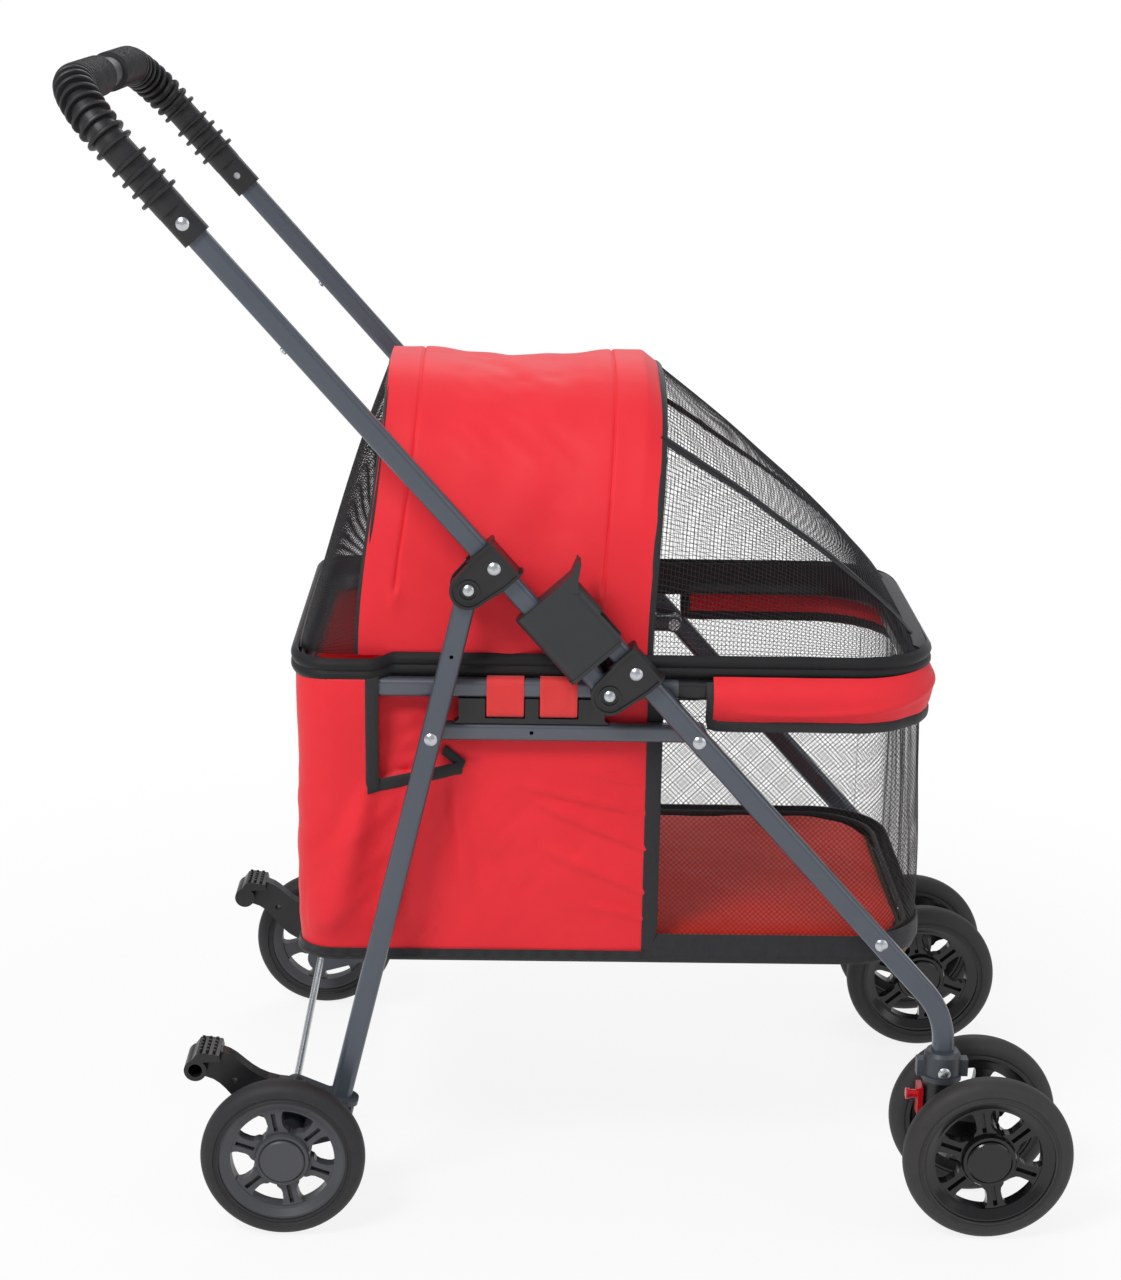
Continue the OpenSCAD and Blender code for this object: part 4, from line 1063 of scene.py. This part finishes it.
    def net(self) -> list[Object]:
        """The front's three panels of diamond net, and a small one in each front notch."""
        form, walk = self.form, Walk(self.form, True, -0.001)
        low, high = form.floor + self.net_hem - 0.003, form.top - self.net_top
        corner, gusset, end = walk.side + 0.5 * walk.bend, form.band_start - form.window, walk.length
        panels = {
            "right": (0.0, corner, low, high),
            "front": (corner, end - corner, low, high),
            "left": (end - corner, end, low, high),
            "gusset_right": (0.0, gusset, high, form.top),
            "gusset_left": (end - gusset, end, high, form.top),
        }
        pitch, made = self.net_pitch * math.sqrt(2), []
        for name, (a, b, z0, z1) in panels.items():
            grid = between([a, b], pitch), between([z0, z1], pitch)
            panel = hang(f"basket_net_{name}", *grid, lambda s, z: self.net_point(walk, s, z))
            netted(panel, self.yarn, self.net_thick, True)
            flat = (b - a, z1 - z0)
            if not name.startswith("gusset"):
                area = net_area(panel, flat[0] * flat[1])
            made.append(dress(panel, Finish.MESH, ["basket_mesh"] if name == "front" else (), 80))
        return made

    def base(self) -> list[Object]:
        """The black base: a sheet under the board, and a bound edge that is higher round the net."""
        form, ring, low = self.form, Ring(self.form), self.form.floor + self.under

        def edge(s: float, v: float) -> Vector:
            """The bound edge, with a cord along its foot."""
            spot = point, normal = ring.at(s)
            past = point.x - form.window
            high = self.hem + (self.net_hem - self.hem) * smooth(past / 0.006)
            cord = 0.0011 * ridge(v * high - 0.0022, 0.0022) + 0.0006 * math.sin(math.pi * v)
            slack = 0.0006 * folds(s, v * high, 0, 0.02, 5.0) * smooth((high * v - 0.004) / 0.004)
            full = self.nose * max(normal.x, 0) * smooth(past / 0.01) * min(v * 3, 1)
            return off(spot, cord + slack + full + 0.0009, low + high * v)

        def under(x: float, v: float) -> Vector:
            """The sheet under the board, across the plan at x."""
            sag = 0.0006 * folds(x, v, 0, 0.06, 2.0)
            return Vector((x, form.plan_half(x) * (2 * v - 1), low + sag))

        band = hang("base_binding", ring.stations(460), shares(14), edge, True)
        thicken(band, self.band_thick)
        dress(band, Finish.BLACK_FABRIC, (), 70)
        ends = form.rear + form.rear_r, form.front - form.front_r
        bend = [form.rear + form.rear_r * (1 - math.cos(math.pi / 2 * i / 12)) for i in range(12)]
        nose = [form.front - form.front_r * (1 - math.sin(math.pi / 2 * i / 16)) for i in range(17)]
        lines = bend + between(ends, 0.006)[:-1] + nose
        panel = hang("base_sheet", lines, shares(60), under, True)
        thicken(panel, self.base_thick)
        return [band, dress(panel, Finish.BASE, ["base_panel"], 70)]

    def board(self) -> Object:
        """The stiff board in the base, with eased edges."""
        low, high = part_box("floor_board")
        size = high - low
        deselect()
        bpy.ops.mesh.primitive_cube_add(size=1, location=(low + high) / 2)
        board = named("base_board")
        board.scale = size
        bpy.ops.object.transform_apply(location=True, rotation=False, scale=True)

        def upright(edge: bpy.types.MeshEdge) -> bool:
            """Whether an edge is one of the board's four upright corners."""
            a, b = (board.data.vertices[i].co for i in edge.vertices)
            return abs(a.z - b.z) > size.z / 2

        in_edit_where(
            board, "EDGE", upright, lambda: bpy.ops.mesh.bevel(offset=self.board_corner, segments=8)
        )
        modify(board, "BEVEL", width=self.board_ease, segments=2)
        return dress(board, Finish.BOARD, ["floor_board"])

    def mat(self) -> list[Object]:
        """The padded floor mat, blown up by a pressure simulation, with piping round its top edge."""
        form, corners, rope = self.form, 120, 300
        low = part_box("floor_pad")[0].z + 0.0015
        high = form.floor + self.net_hem - 0.004
        ring = Ring(form, -self.mat_inset)
        deselect()
        bpy.ops.mesh.primitive_circle_add(vertices=corners, radius=1, fill_type="NGON")
        mat = named("floor_mat")
        for i, vertex in enumerate(mat.data.vertices):
            vertex.co = off(ring.at(ring.length * (i + 0.5) / corners), 0, low)
        rise = {"value": (0, 0, high - low)}
        in_edit(
            mat,
            face_outward,
            lambda: bpy.ops.mesh.extrude_region_move(TRANSFORM_OT_translate=rise),
            lambda: bpy.ops.mesh.select_all(action="SELECT"),
            face_outward,
        )
        modify(mat, "REMESH", mode="VOXEL", voxel_size=self.voxel)
        inflate(mat, self.pressure, self.puff)
        modify(mat, "SMOOTH", factor=0.5, iterations=6)
        modify(mat, "SUBSURF", levels=1, render_levels=1)
        ceiling, keep = form.floor + self.net_hem + 0.003, self.mat_room
        for vertex in mat.data.vertices:
            co = vertex.co
            soft = 0.0011 * folds(co.x, co.y, 0, 0.05, 8.0) + 0.0005 * folds(co.x, co.y, 0, 0.022, 1.0)
            if co.z > (low + high) / 2:
                co.z = min(co.z + soft, ceiling)
            co.z = max(co.z, low - 0.001)
            half = form.plan_half(min(max(co.x, form.rear + 0.001), form.front - 0.001)) - keep
            co.y = min(max(co.y, -half), half)
            co.x = min(max(co.x, form.rear + keep), form.front - keep)
        dress(mat, Finish.PAD, ["floor_pad"], 80)
        ring = Ring(form, -self.mat_inset + 0.001)
        line = [off(ring.at(s), 0, high + 0.0002) for s in ring.stations(rope)[:-1]]
        return [mat, tape("mat_piping", line, UP, self.piping, True)]

    def bindings(self) -> list[Object]:
        """The tapes at the window's edges and round the notches."""
        form, made = self.form, []
        walk = Walk(form, False)
        edge = form.notch - 0.0035
        tip = form.notch + self.lip_run * 0.9
        for side, k in SIDES:

            def spot(x: float, z: float, out: float, k: int = k) -> Vector:
                """The point of the side wall at x and a height, and a distance outside it."""
                s = form.window - x
                point = self.wall_point(walk, walk.length - s if k > 0 else s, z)
                point.y += k * out
                return point

            heights = between([form.floor + 0.010, form.top - 0.003], 0.006)
            window = [Vector((form.window - 0.0005, k * (form.half + 0.0012), z)) for z in heights]
            # down the notch's rear edge, and forward along its foot to a folded end
            heights = between([self.lip_z(edge) - 0.006, form.top + 0.001], 0.004)[::-1]
            down = [spot(edge, z, 0.0012) for z in heights]
            runs = between([edge - 0.004, form.notch + self.lip_run * 0.94], 0.004)
            foot = [spot(x, self.lip_z(x) - 0.0045, 0.0014) for x in runs]
            end = [
                spot(tip - 0.012 + 0.016 * t, self.lip_z(tip) + 0.012 * (1 - t) - 0.002, 0.003)
                for t in (0, 0.3, 0.6, 1)
            ]
            made += [
                tape(f"window_tape_{side}", window, AHEAD, self.window_cut),
                tape(f"notch_tape_{side}", down, AHEAD, self.notch_cut),
                tape(f"notch_foot_{side}", foot, UP, self.foot_cut),
                tape(f"notch_end_{side}", end, Vector((0.4, 0, 1)), self.end_cut),
            ]
        return made

    def build(self) -> None:
        """Builds the whole basket."""
        pieces = [self.walls(), *self.net(), *self.base(), self.board(), *self.mat(), *self.bindings()]
        for piece in pieces:
            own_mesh(piece)


@dataclass
class Rim:
    """The padded rim, the zip band and the strap loops."""

    form: CarrierForm
    zip_room: float = 0.0016
    room: float = 0.0018
    cover_foot: float = 0.0335  # from the zip band down to the rim cover's lower edge
    cloth: float = 0.0012
    welt_thick: float = 0.003
    facing_thick: float = 0.0008
    strap_thick: float = 0.00104
    coil: Cut = (0.0026, 0.0016)
    binding: Cut = (0.009, 0.0026)
    gusset_cut: Cut = (0.006, 0.0024)

    def zip_out(self, spot: Spot) -> tuple[float, float]:
        """How far the zip band stands out and sags over the rear tube."""
        push = self.form.rear_loop.push(spot, self.zip_room)
        beside = 1 - smooth((spot[0].x - self.form.notch + 0.006) / 0.02)
        return push * 0.7 * beside, 0.003 * beside * smooth(push / 0.01)

    def zip_band(self) -> None:
        """The black zip round the basket's top: a welt above and below the coil, and a facing inside."""
        form, ring, count = self.form, Ring(self.form), 480
        low, high = form.top - 0.0012, form.zip_top + 0.001

        def welt(s: float, v: float) -> Vector:
            """The outside of the band, with its two cords."""
            spot = ring.at(s)
            out, sag = self.zip_out(spot)
            cords = 0.0021 * (ridge(v - 0.24, 0.24) + ridge(v - 0.78, 0.22))
            lip = -0.0012 * (1 - math.sin(math.pi * min(max(v, 0.0), 1.0)) ** 0.3)
            return off(spot, out + cords + lip + 0.0008, low + (high - low) * v - sag)

        def inner(s: float, v: float) -> Vector:
            """The facing behind the band."""
            spot = ring.at(s)
            out, sag = self.zip_out(spot)
            z = form.top - 0.005 + (form.zip_top - form.top + 0.006) * v - sag
            return off(spot, out - 0.0026 - 0.0012 * smooth(v), z)

        def teeth(s: float) -> Vector:
            """The zip's coil, between the cords."""
            spot = ring.at(s)
            out, sag = self.zip_out(spot)
            return off(spot, out + 0.0014, low + (high - low) * 0.51 - sag)

        stations = ring.stations(count)
        band = hang("zip_tape", stations, shares(22), welt, True)
        thicken(band, self.welt_thick)
        dress(band, Finish.PIPING, ["zip_band"], 60)
        facing = hang("zip_facing", stations, shares(6), inner, True)
        thicken(facing, self.facing_thick)
        dress(facing, Finish.BLACK_FABRIC, (), 60)
        tape("zip_coil", [teeth(s) for s in stations[:-1]], UP, self.coil, True, Finish.ZIP)

    def cover_point(self, walk: Walk, s: float, v: float) -> Vector:
        """The point of the rim cover, which goes over the tube and back under it.

        Args:
            walk: The line at the wall.
            s: The distance along it.
            v: From 0 at the zip band to 1 at the lower edge.

        Returns:
            The point.
        """
        spot = walk.at(s)
        push = self.form.front_loop.push(spot, self.room) + 0.0016
        z0, z1 = self.form.top + 0.0005, self.form.top - self.cover_foot
        round_out = math.sin(math.pi * (0.06 + 0.82 * v)) ** 0.42
        slump = 0.0022 * smooth(v * 2) * (1 - smooth(v * 1.4 - 0.4))
        gather = 0.0011 * folds(s, v * 0.006, 0, 0.013, 4.0) * smooth((v - 0.35) / 0.5)
        pucker = gather + 0.0008 * folds(s, v * 0.02, 0, 0.03, 1.0)
        line = ridge(v - 0.28 - 0.5 * math.sin(s * 9 + 1) ** 2, 0.12)
        long_fold = 0.0016 * line * smooth((spot[0].x - 0.11) / 0.05)
        out = push * round_out + slump + pucker + long_fold
        z = z0 + (z1 - z0) * (v - 0.12 * math.sin(2 * math.pi * v) / (2 * math.pi))
        return off(spot, max(out, 0.0004), z)

    def rim_cover(self) -> None:
        """The red cover over the front rim tube, gathered along its lower edge, and its bindings."""
        form = self.form
        walk = Walk(form, True, 0.0, form.band_start)
        stations = between([0, walk.length], 0.0029)
        cover = hang("rim_cover", stations, shares(26), lambda s, v: self.cover_point(walk, s, v))
        thicken(cover, self.cloth)
        girth = run_along([self.cover_point(walk, walk.length / 3, v) for v in shares(20)])[-1]
        dress(cover, Finish.RED_FABRIC, ["rim_band"], 70)
        # down one end of the cover, round its lower edge and up the other end
        climb = (0.1, 0.25, 0.45, 0.65, 0.82, 0.93)
        rise = [self.cover_point(walk, 0, v) + Vector((-0.0012, 0, 0)) for v in climb]
        drop = [Vector((p.x, -p.y, p.z)) for p in rise][::-1]
        normals = [walk.at(s)[1] for s in stations]
        line = [
            self.cover_point(walk, s, 1.0) + normal * 0.001 - Vector((0, 0, 0.0042))
            for s, normal in zip(stations, normals)
        ]
        line = rise + line + drop
        normals = [Vector((0, -1, 0))] * len(rise) + normals + [Vector((0, 1, 0))] * len(drop)
        across = [normal.cross(ahead) for normal, ahead in zip(normals, headings(line))]
        tape("rim_binding", line, across, self.binding)
        for side, k in SIDES:
            # from the window's tape under the zip to the cover's edge
            spots = between([form.window, form.band_start + 0.001], 0.005)
            line = [Vector((x, k * (form.half + 0.0014), form.top - 0.0028)) for x in spots]
            tape(f"gusset_tape_{side}", line, UP, self.gusset_cut)

    def strap(self, name: str, ends: tuple[float, float], k: int, number: int) -> Object:
        """One red loop, folded round its rail.

        Args:
            name: The piece's name.
            ends: Where it starts and ends along the rail.
            k: The side it is on, -1 or 1.
            number: Its number on that side.

        Returns:
            The loop.
        """
        lows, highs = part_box("strap_loops")
        inner, outer = self.form.half + 0.0007, highs.y
        top, bottom = self.form.top - 0.0006, lows.z
        mid_y, mid_z = (inner + outer) / 2, (top + bottom) / 2
        half_y, half_z = (outer - inner) / 2, (top - bottom) / 2

        def place(s: float, v: float) -> Vector:
            """The loop's point, s round the rail and v along it."""
            x = ends[0] + (ends[1] - ends[0]) * v
            hem = 0.0004 * (ridge(v - 0.07, 0.05) + ridge(v - 0.93, 0.05))
            wave = 0.0005 * folds(x, s * 0.05, k, 0.012, number)
            a = math.pi / 2 + 2 * math.pi * s
            c, q = math.cos(a), math.sin(a)
            y = mid_y + half_y * math.copysign(abs(c) ** 0.62, c) + (hem + wave) * c
            z = mid_z + half_z * math.copysign(abs(q) ** 0.55, q)
            return Vector((x, k * y, z))

        strap = hang(name, shares(48), shares(14), place, True)
        in_edit(strap, face_outward)
        thicken(strap, self.strap_thick)
        return strap

    def straps(self) -> None:
        """The red loops that hang the basket on the upper rails."""
        node = frame["nodes"]["strap_loops"]
        edges = sorted({round((node.matrix_world @ v.co).x, 4) for v in node.data.vertices})
        for side, k in SIDES:
            for number, ends in enumerate(zip(edges[::2], edges[1::2]), 1):
                strap = self.strap(f"strap_loop_{side}_{number}", ends, k, number)
                first = side == "right" and number == 1
                dress(strap, Finish.STRAP, ["strap_loops"] if first else (), 70)

    def build(self) -> None:
        """Builds the rim."""
        self.zip_band()
        self.rim_cover()
        self.straps()


@dataclass
class Hood:
    """The canopy: red roof over two hoops, net cheeks, back and door, and their bindings."""

    form: CarrierForm
    power: float = 2.5  # of the arch's superellipse
    edge: float = 0.006
    cloth: float = 0.0012
    door_from: float = 50.0  # the arch's angle at the door's left edge
    net_pitch: float = 0.0036
    yarn: float = 0.00036
    net_thick: float = 0.0003
    lean_back: float = 0.0190
    lean_front: float = 0.0105
    brow: float = 0.012  # the strip of roof that bends down with the hood
    nose: float = 0.011
    seams: tuple[float, float] = (0.0255, 0.0370)  # from the roof's rear edge, and from its front one
    seam_foot: float = 0.053
    # extra columns of the mesh beside the stitching, as shares of the roof's width
    stitches: tuple[float, ...] = (0.112, 0.116, 0.120, 0.124, 0.828, 0.832, 0.836, 0.840)
    door_cut: Cut = (0.0085, 0.0018)
    zip_cut: Cut = (0.003, 0.0026)
    edge_cut: Cut = (0.006, 0.002)
    nose_cut: Cut = (0.016, 0.0022)
    base_z: float = field(init=False)
    rise: float = field(init=False)
    back_x: float = field(init=False)
    front_x: float = field(init=False)

    def __post_init__(self) -> None:
        """Reads the roof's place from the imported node."""
        low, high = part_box("canopy_roof")
        self.base_z, self.rise = low.z, high.z - low.z
        self.back_x, self.front_x = low.x, high.x

    def arch(self, half: float, rise: float, degrees: float) -> tuple[float, float]:
        """A point of the arch.

        Args:
            half: Half its width.
            rise: Its height.
            degrees: From 0 at the left foot to 180 at the right foot.

        Returns:
            The point across and above the foot.
        """
        c, s = math.cos(math.radians(degrees)), max(math.sin(math.radians(degrees)), 0)
        return half * math.copysign(abs(c) ** (2 / self.power), c), rise * s ** (2 / self.power)

    def roof_run(self, angles: Sequence[float]) -> list[float]:
        """The distance along the roof's arch at each angle."""
        return run_along([Vector((*self.arch(self.form.half, self.rise, a), 0)) for a in angles])

    def even(self, steps: int) -> list[float]:
        """Angles of the roof's arch that lie evenly along it."""
        fine = [i * 0.25 for i in range(721)]
        run = self.roof_run(fine)
        result, k = [], 0
        for i in range(steps + 1):
            goal = run[-1] * i / steps
            while k < len(fine) - 2 and run[k + 1] < goal:
                k += 1
            share = (goal - run[k]) / max(run[k + 1] - run[k], 1e-9)
            result.append(fine[k] + 0.25 * share)
        return result

    def back_edge(self, degrees: float) -> float:
        """The roof's rear edge, which leans forward as it climbs."""
        high = self.arch(self.form.half, 1, degrees)[1]
        return self.back_x - 0.0080 + self.lean_back * smooth(high)

    def front_edge(self, degrees: float) -> float:
        """The roof's front edge, which leans forward too."""
        high = self.arch(self.form.half, 1, degrees)[1]
        return self.front_x - 0.0060 + self.lean_front * smooth(high)

    def front_rise(self, x: float, degrees: float) -> float:
        """The hood's height at x: level over the roof, then falling to the nose."""
        start = self.front_edge(degrees) - self.brow
        t = (x - start) / (self.form.front - self.nose - start)
        if t <= 0:
            return self.rise
        return self.edge + (self.rise - self.edge) * max(1 - t, 0.0) ** 0.8

    def roof(self) -> None:
        """The red roof: one cloth, proud over its hoops, slack between them, with two stitched channels."""
        angles = self.even(220)
        length, width = self.roof_run(angles)[-1], self.front_x - self.back_x
        by_run = dict(zip(shares(220), angles))

        def place(s: float, v: float) -> Vector:
            """The roof's point, s from its rear edge to its front one and v along the arch."""
            a = by_run[v]
            x0, x1 = self.back_edge(a), self.front_edge(a)
            x = x0 + (x1 - x0) * s
            y, z = self.arch(self.form.half, self.front_rise(x, a), a)
            inward = Vector((0, -y, -z * 0.6)).normalized()
            first, second = x0 + self.seams[0], x1 - self.seams[1]
            inside = smooth((x - first) / 0.05) * smooth((second - x) / 0.05)
            high = min(z / 0.1, 1.0)
            sag = 0.0045 * inside * high + 0.0017 * folds(x * 1.6, v * length, 0, 0.055, 6.0) * high
            sag += 0.0036 * inside * (1.2 - high) * folds(x, z * 0.6, y, 0.04, 2.0)
            sag += 0.0012 * inside * folds(x + z, z * 0.5, y, 0.02, 5.0)
            above = z - self.seam_foot
            for seam in (first, second):
                sag += 0.0016 * smooth(above / 0.012) * ridge(x - seam, 0.0016)
                # the channel's end puckers where the stitching stops
                sag -= 0.0016 * ridge(x - seam, 0.007) * ridge(above + 0.006, 0.016)
                sag += 0.0022 * ridge(x - seam, 0.0035) * ridge(above - 0.002, 0.010)
            return Vector((x, y, self.base_z + z)) + inward * sag

        marks = [0.0, 0.105, 0.135, 0.815, 0.845, 1.0]
        across = sorted({*between(marks, 0.0085), *self.stitches})
        roof = hang("canopy_cloth", across, sorted(by_run), place)
        for loop in roof.data.uv_layers[0].data:
            loop.uv = (loop.uv[0] * width, loop.uv[1] * length)
        in_edit(roof, face_outward)
        thicken(roof, self.cloth)
        dress(roof, Finish.RED_FABRIC, ["canopy_roof"], 70)

    def hood_point(self, front: bool, t: float, degrees: float, out: float = 0.0) -> Vector:
        """A point of the net hood.

        Args:
            front: The front hood, or else the back one.
            t: From 0 at the roof's edge to 1 at the carrier's end.
            degrees: The arch's angle.
            out: How far outside the net it lies.

        Returns:
            The point.
        """
        t = min(max(t, 0.0), 1.0)
        if front:
            x0, x1 = self.front_edge(degrees) - 0.001, self.form.front - 0.0005
            x = x0 + (x1 - x0) * t
            rise = self.front_rise(x, degrees)
        else:
            x0, x1 = self.back_edge(degrees) + 0.001, self.form.rear + 0.0005
            x = x0 + (x1 - x0) * t
            rise = self.edge + (self.rise - self.edge) * (1 - t) + 0.010 * math.sin(math.pi * t)
        half = self.form.plan_half(x) - 0.0015
        slack = 0.0022 * folds(x, degrees / 90 * 0.2, 0, 0.05, 3.0) * math.sin(math.pi * t)
        y, z = self.arch(half + out + slack, rise + out + slack, degrees)
        return Vector((x, y, self.base_z + z))

    def net(
        self, name: str, front: bool, a0: float, a1: float, replaces: Iterable[str], body: str = "carrier"
    ) -> None:
        """One panel of net between two angles of the arch.

        Args:
            name: The piece's name.
            front: In the front hood, or else in the back one.
            a0: Where it starts on the arch, in degrees.
            a1: Where it ends.
            replaces: The CAD nodes it stands for.
            body: The CAD body it rides on.
        """
        marks = [a0, *(a for a in self.even(240) if a0 < a < a1), a1]

        def place(u: float, v: float) -> Vector:
            """The net's point, u down the slope and v along the arch."""
            k = v * (len(marks) - 1)
            i = min(int(k), len(marks) - 2)
            a = marks[i] + (marks[i + 1] - marks[i]) * (k - i)
            return self.hood_point(front, u, a, -0.0008)

        length = run_along([place(u, 0.5) for u in shares(20)])[-1]
        width = run_along([place(0.3, v) for v in shares(40)])[-1]
        columns, rows = round(length / self.net_pitch), round(width / self.net_pitch)
        panel = laid_sheet(name, columns, rows, place, (length, width))
        netted(panel, self.yarn, self.net_thick, False)
        dress(panel, Finish.MESH, replaces, 80, body)

    def tape_along(
        self,
        name: str,
        front: bool,
        stations: Sequence[tuple[float, float]],
        cut: Cut,
        out: float = 0.0004,
        **look: object,
    ) -> None:
        """A binding along a line on the hood.

        Args:
            name: The piece's name.
            front: On the front hood, or else on the back one.
            stations: The line, as shares of the slope and angles of the arch.
            cut: The tape's width and thickness.
            out: How far outside the net it lies.
            **look: A finish or a body of its own.
        """
        line = [self.hood_point(front, t, a, out) for t, a in stations]
        across = []
        for (t, a), ahead in zip(stations, headings(line)):
            near, far = min(max(a - 0.5, 0), 179), min(max(a + 0.5, 1), 180)
            da = self.hood_point(front, t, far) - self.hood_point(front, t, near)
            low, high = max(t - 0.01, 0), min(t + 0.01, 1)
            dt = self.hood_point(front, high, a) - self.hood_point(front, low, a)
            across.append(da.cross(dt).cross(ahead))
        tape(name, line, across, cut, **look)

    def bindings(self) -> None:
        """The tapes along the door's zips and the roof's edges."""
        for side, a in (("left", self.door_from), ("right", 180 - self.door_from)):
            line = [(i / 48, a) for i in range(47)]
            self.tape_along(f"door_tape_{side}", True, line, self.door_cut)
            self.tape_along(f"door_zip_{side}", True, line, self.zip_cut, 0.0008, finish=Finish.ZIP)
        sweep = self.even(90)
        for name, front, t in (("roof_tape_front", True, 0.012), ("roof_tape_back", False, 0.02)):
            self.tape_along(name, front, [(t, a) for a in sweep], self.edge_cut)
        nose = [(0.965, a) for a in range(8, 173, 3)]
        self.tape_along("nose_tape", True, nose, self.nose_cut, body="door")
        self.tape_along("tail_tape", False, [(0.985, a) for a in range(0, 181, 3)], self.edge_cut)

    def build(self) -> None:
        """Builds the whole canopy."""
        left, right = self.door_from, 180 - self.door_from
        self.roof()
        self.net("net_back", False, 0, 180, ["canopy_mesh"])
        self.net("net_cheek_left", True, 0, left, ())
        self.net("net_cheek_right", True, right, 180, ())
        self.net("net_door", True, left, right, ["canopy_door"], "door")
        self.bindings()


class Chassis:
    """The rigid nodes, which keep their shape and get their finishes."""

    def build(self) -> None:
        """Gives every carried-over node its finish."""
        for entry in frame["record"]["subparts"]:
            node = frame["nodes"][entry["node"]]
            material = Finish[entry["material_slot"].upper()].material()
            node.data.materials.clear()
            node.data.materials.append(material)
            LOG.info("%s: %s", entry["node"], material.name)


# ---------------------------------------------------------------- studio


def place_in_scene(name: str, data: bpy.types.ID) -> Object:
    """Puts a camera or lamp into the scene."""
    obj = bpy.data.objects.new(name, data)
    bpy.context.scene.collection.objects.link(obj)
    return obj


def seen_by(tree: Tree, *rays: str) -> Socket:
    """Is 1 for two kinds of ray, such as "Is Camera Ray", and 0 for the rest."""
    path = add_node(tree, "LightPath")
    return combine(tree, "MAXIMUM", *(path.outputs[ray] for ray in rays))


@dataclass(frozen=True)
class Studio:
    """Camera, pale floor and soft lights."""

    eye: tuple[float, float, float] = (-0.05008, -2.10891, 1.00798)
    pitch: float = 15.4
    yaw: float = 1.018
    roll: float = 1.032
    lens: float = 73.28
    middle: tuple[float, float, float] = (0, 0, 0.45)
    lamps: tuple[tuple, ...] = (  # name, place, side in metres and power in watts
        ("key", (-1.3, -1.8, 2.6), 0.9, 50),
        ("fill", (2.4, -1.2, 1.5), 1.6, 10),
        ("back", (0.2, 2.2, 2.3), 1.6, 20),
    )

    def camera(self) -> None:
        """Places the camera."""
        p, y, r = (math.radians(v) for v in (self.pitch, self.yaw, self.roll))
        ahead = Vector((math.sin(y) * math.cos(p), math.cos(y) * math.cos(p), -math.sin(p)))
        right = Vector((math.cos(y), -math.sin(y), 0))
        up = right.cross(ahead)
        x = right * math.cos(r) + up * math.sin(r)
        z = up * math.cos(r) - right * math.sin(r)
        data = bpy.data.cameras.new("camera")
        data.lens, data.sensor_width, data.sensor_fit = self.lens, 36, "AUTO"
        data.clip_end = 20
        camera = place_in_scene("camera", data)
        turn = Matrix((x, z, -ahead)).transposed().to_4x4()
        camera.matrix_world = Matrix.Translation(self.eye) @ turn
        bpy.context.scene.camera = camera

    def floor(self) -> None:
        """A pale floor that shows white behind the object and keeps its soft shadow."""
        deselect()
        bpy.ops.mesh.primitive_plane_add(size=14, location=(0, 0, -0.0005))
        floor = bpy.context.object
        floor.name = "floor"
        material = bpy.data.materials.new("paper_floor")
        tree = clean_tree(material)
        diffuse = add_node(tree, "BsdfDiffuse", inputs={"Color": linear("#f4f4f4")}).outputs[0]
        white = {"Color": linear("#ffffff"), "Strength": 1.0}
        glow = add_node(tree, "Emission", inputs=white).outputs[0]
        seen = seen_by(tree, "Is Camera Ray", "Is Glossy Ray")
        # the glow grows with the distance from the object's middle
        place = add_node(tree, "TexCoord").outputs["Object"]
        away = add_node(tree, "VectorMath", {"operation": "LENGTH"}, {0: place}).outputs["Value"]
        spans = {"From Min": 0.55, "From Max": 1.1, "To Min": 0.86, "To Max": 1.0}
        grown = add_node(tree, "MapRange", inputs={"Value": away, **spans}).outputs[0]
        share = combine(tree, "MULTIPLY", seen, grown)
        mix = add_node(tree, "MixShader", inputs={0: share, 1: diffuse, 2: glow})
        add_node(tree, "OutputMaterial", inputs={"Surface": mix.outputs[0]})
        floor.data.materials.append(material)

    def world(self) -> None:
        """Soft even light from all round, and white behind the object."""
        world = bpy.data.worlds.new("studio")
        bpy.context.scene.world = world
        tree = clean_tree(world)
        soft, white = (
            add_node(tree, "Background", inputs={"Color": linear(code), "Strength": power}).outputs[0]
            for code, power in (("#f2f4f8", 0.50), ("#ffffff", 1.0))
        )
        seen = seen_by(tree, "Is Camera Ray", "Is Transmission Ray")
        mix = add_node(tree, "MixShader", inputs={0: seen, 1: soft, 2: white})
        add_node(tree, "OutputWorld", inputs={"Surface": mix.outputs[0]})

    def lamp(self, name: str, place: tuple[float, float, float], size: float, power: float) -> None:
        """Adds a square soft lamp that faces the object's middle.

        Args:
            name: The lamp's name.
            place: Where it hangs.
            size: Its side in metres.
            power: Its power in watts.
        """
        data = bpy.data.lights.new(name, "AREA")
        data.shape, data.size, data.energy = "SQUARE", size, power
        lamp = place_in_scene(name, data)
        lamp.location = place
        ahead = Vector(self.middle) - Vector(place)
        lamp.rotation_euler = ahead.to_track_quat("-Z", "Y").to_euler()

    def build(self) -> None:
        """Builds the studio."""
        self.camera()
        self.world()
        self.floor()
        for lamp in self.lamps:
            self.lamp(*lamp)
        bpy.context.scene.view_settings.view_transform = "Standard"


def main() -> None:
    """Builds the scene, piece by piece."""
    logging.basicConfig(level=logging.INFO, format="%(message)s")
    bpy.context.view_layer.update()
    Studio().build()
    Chassis().build()
    form = CarrierForm.from_frame()
    Basket(form).build()
    Rim(form).build()
    Hood(form).build()


if __name__ == "__main__":
    main()
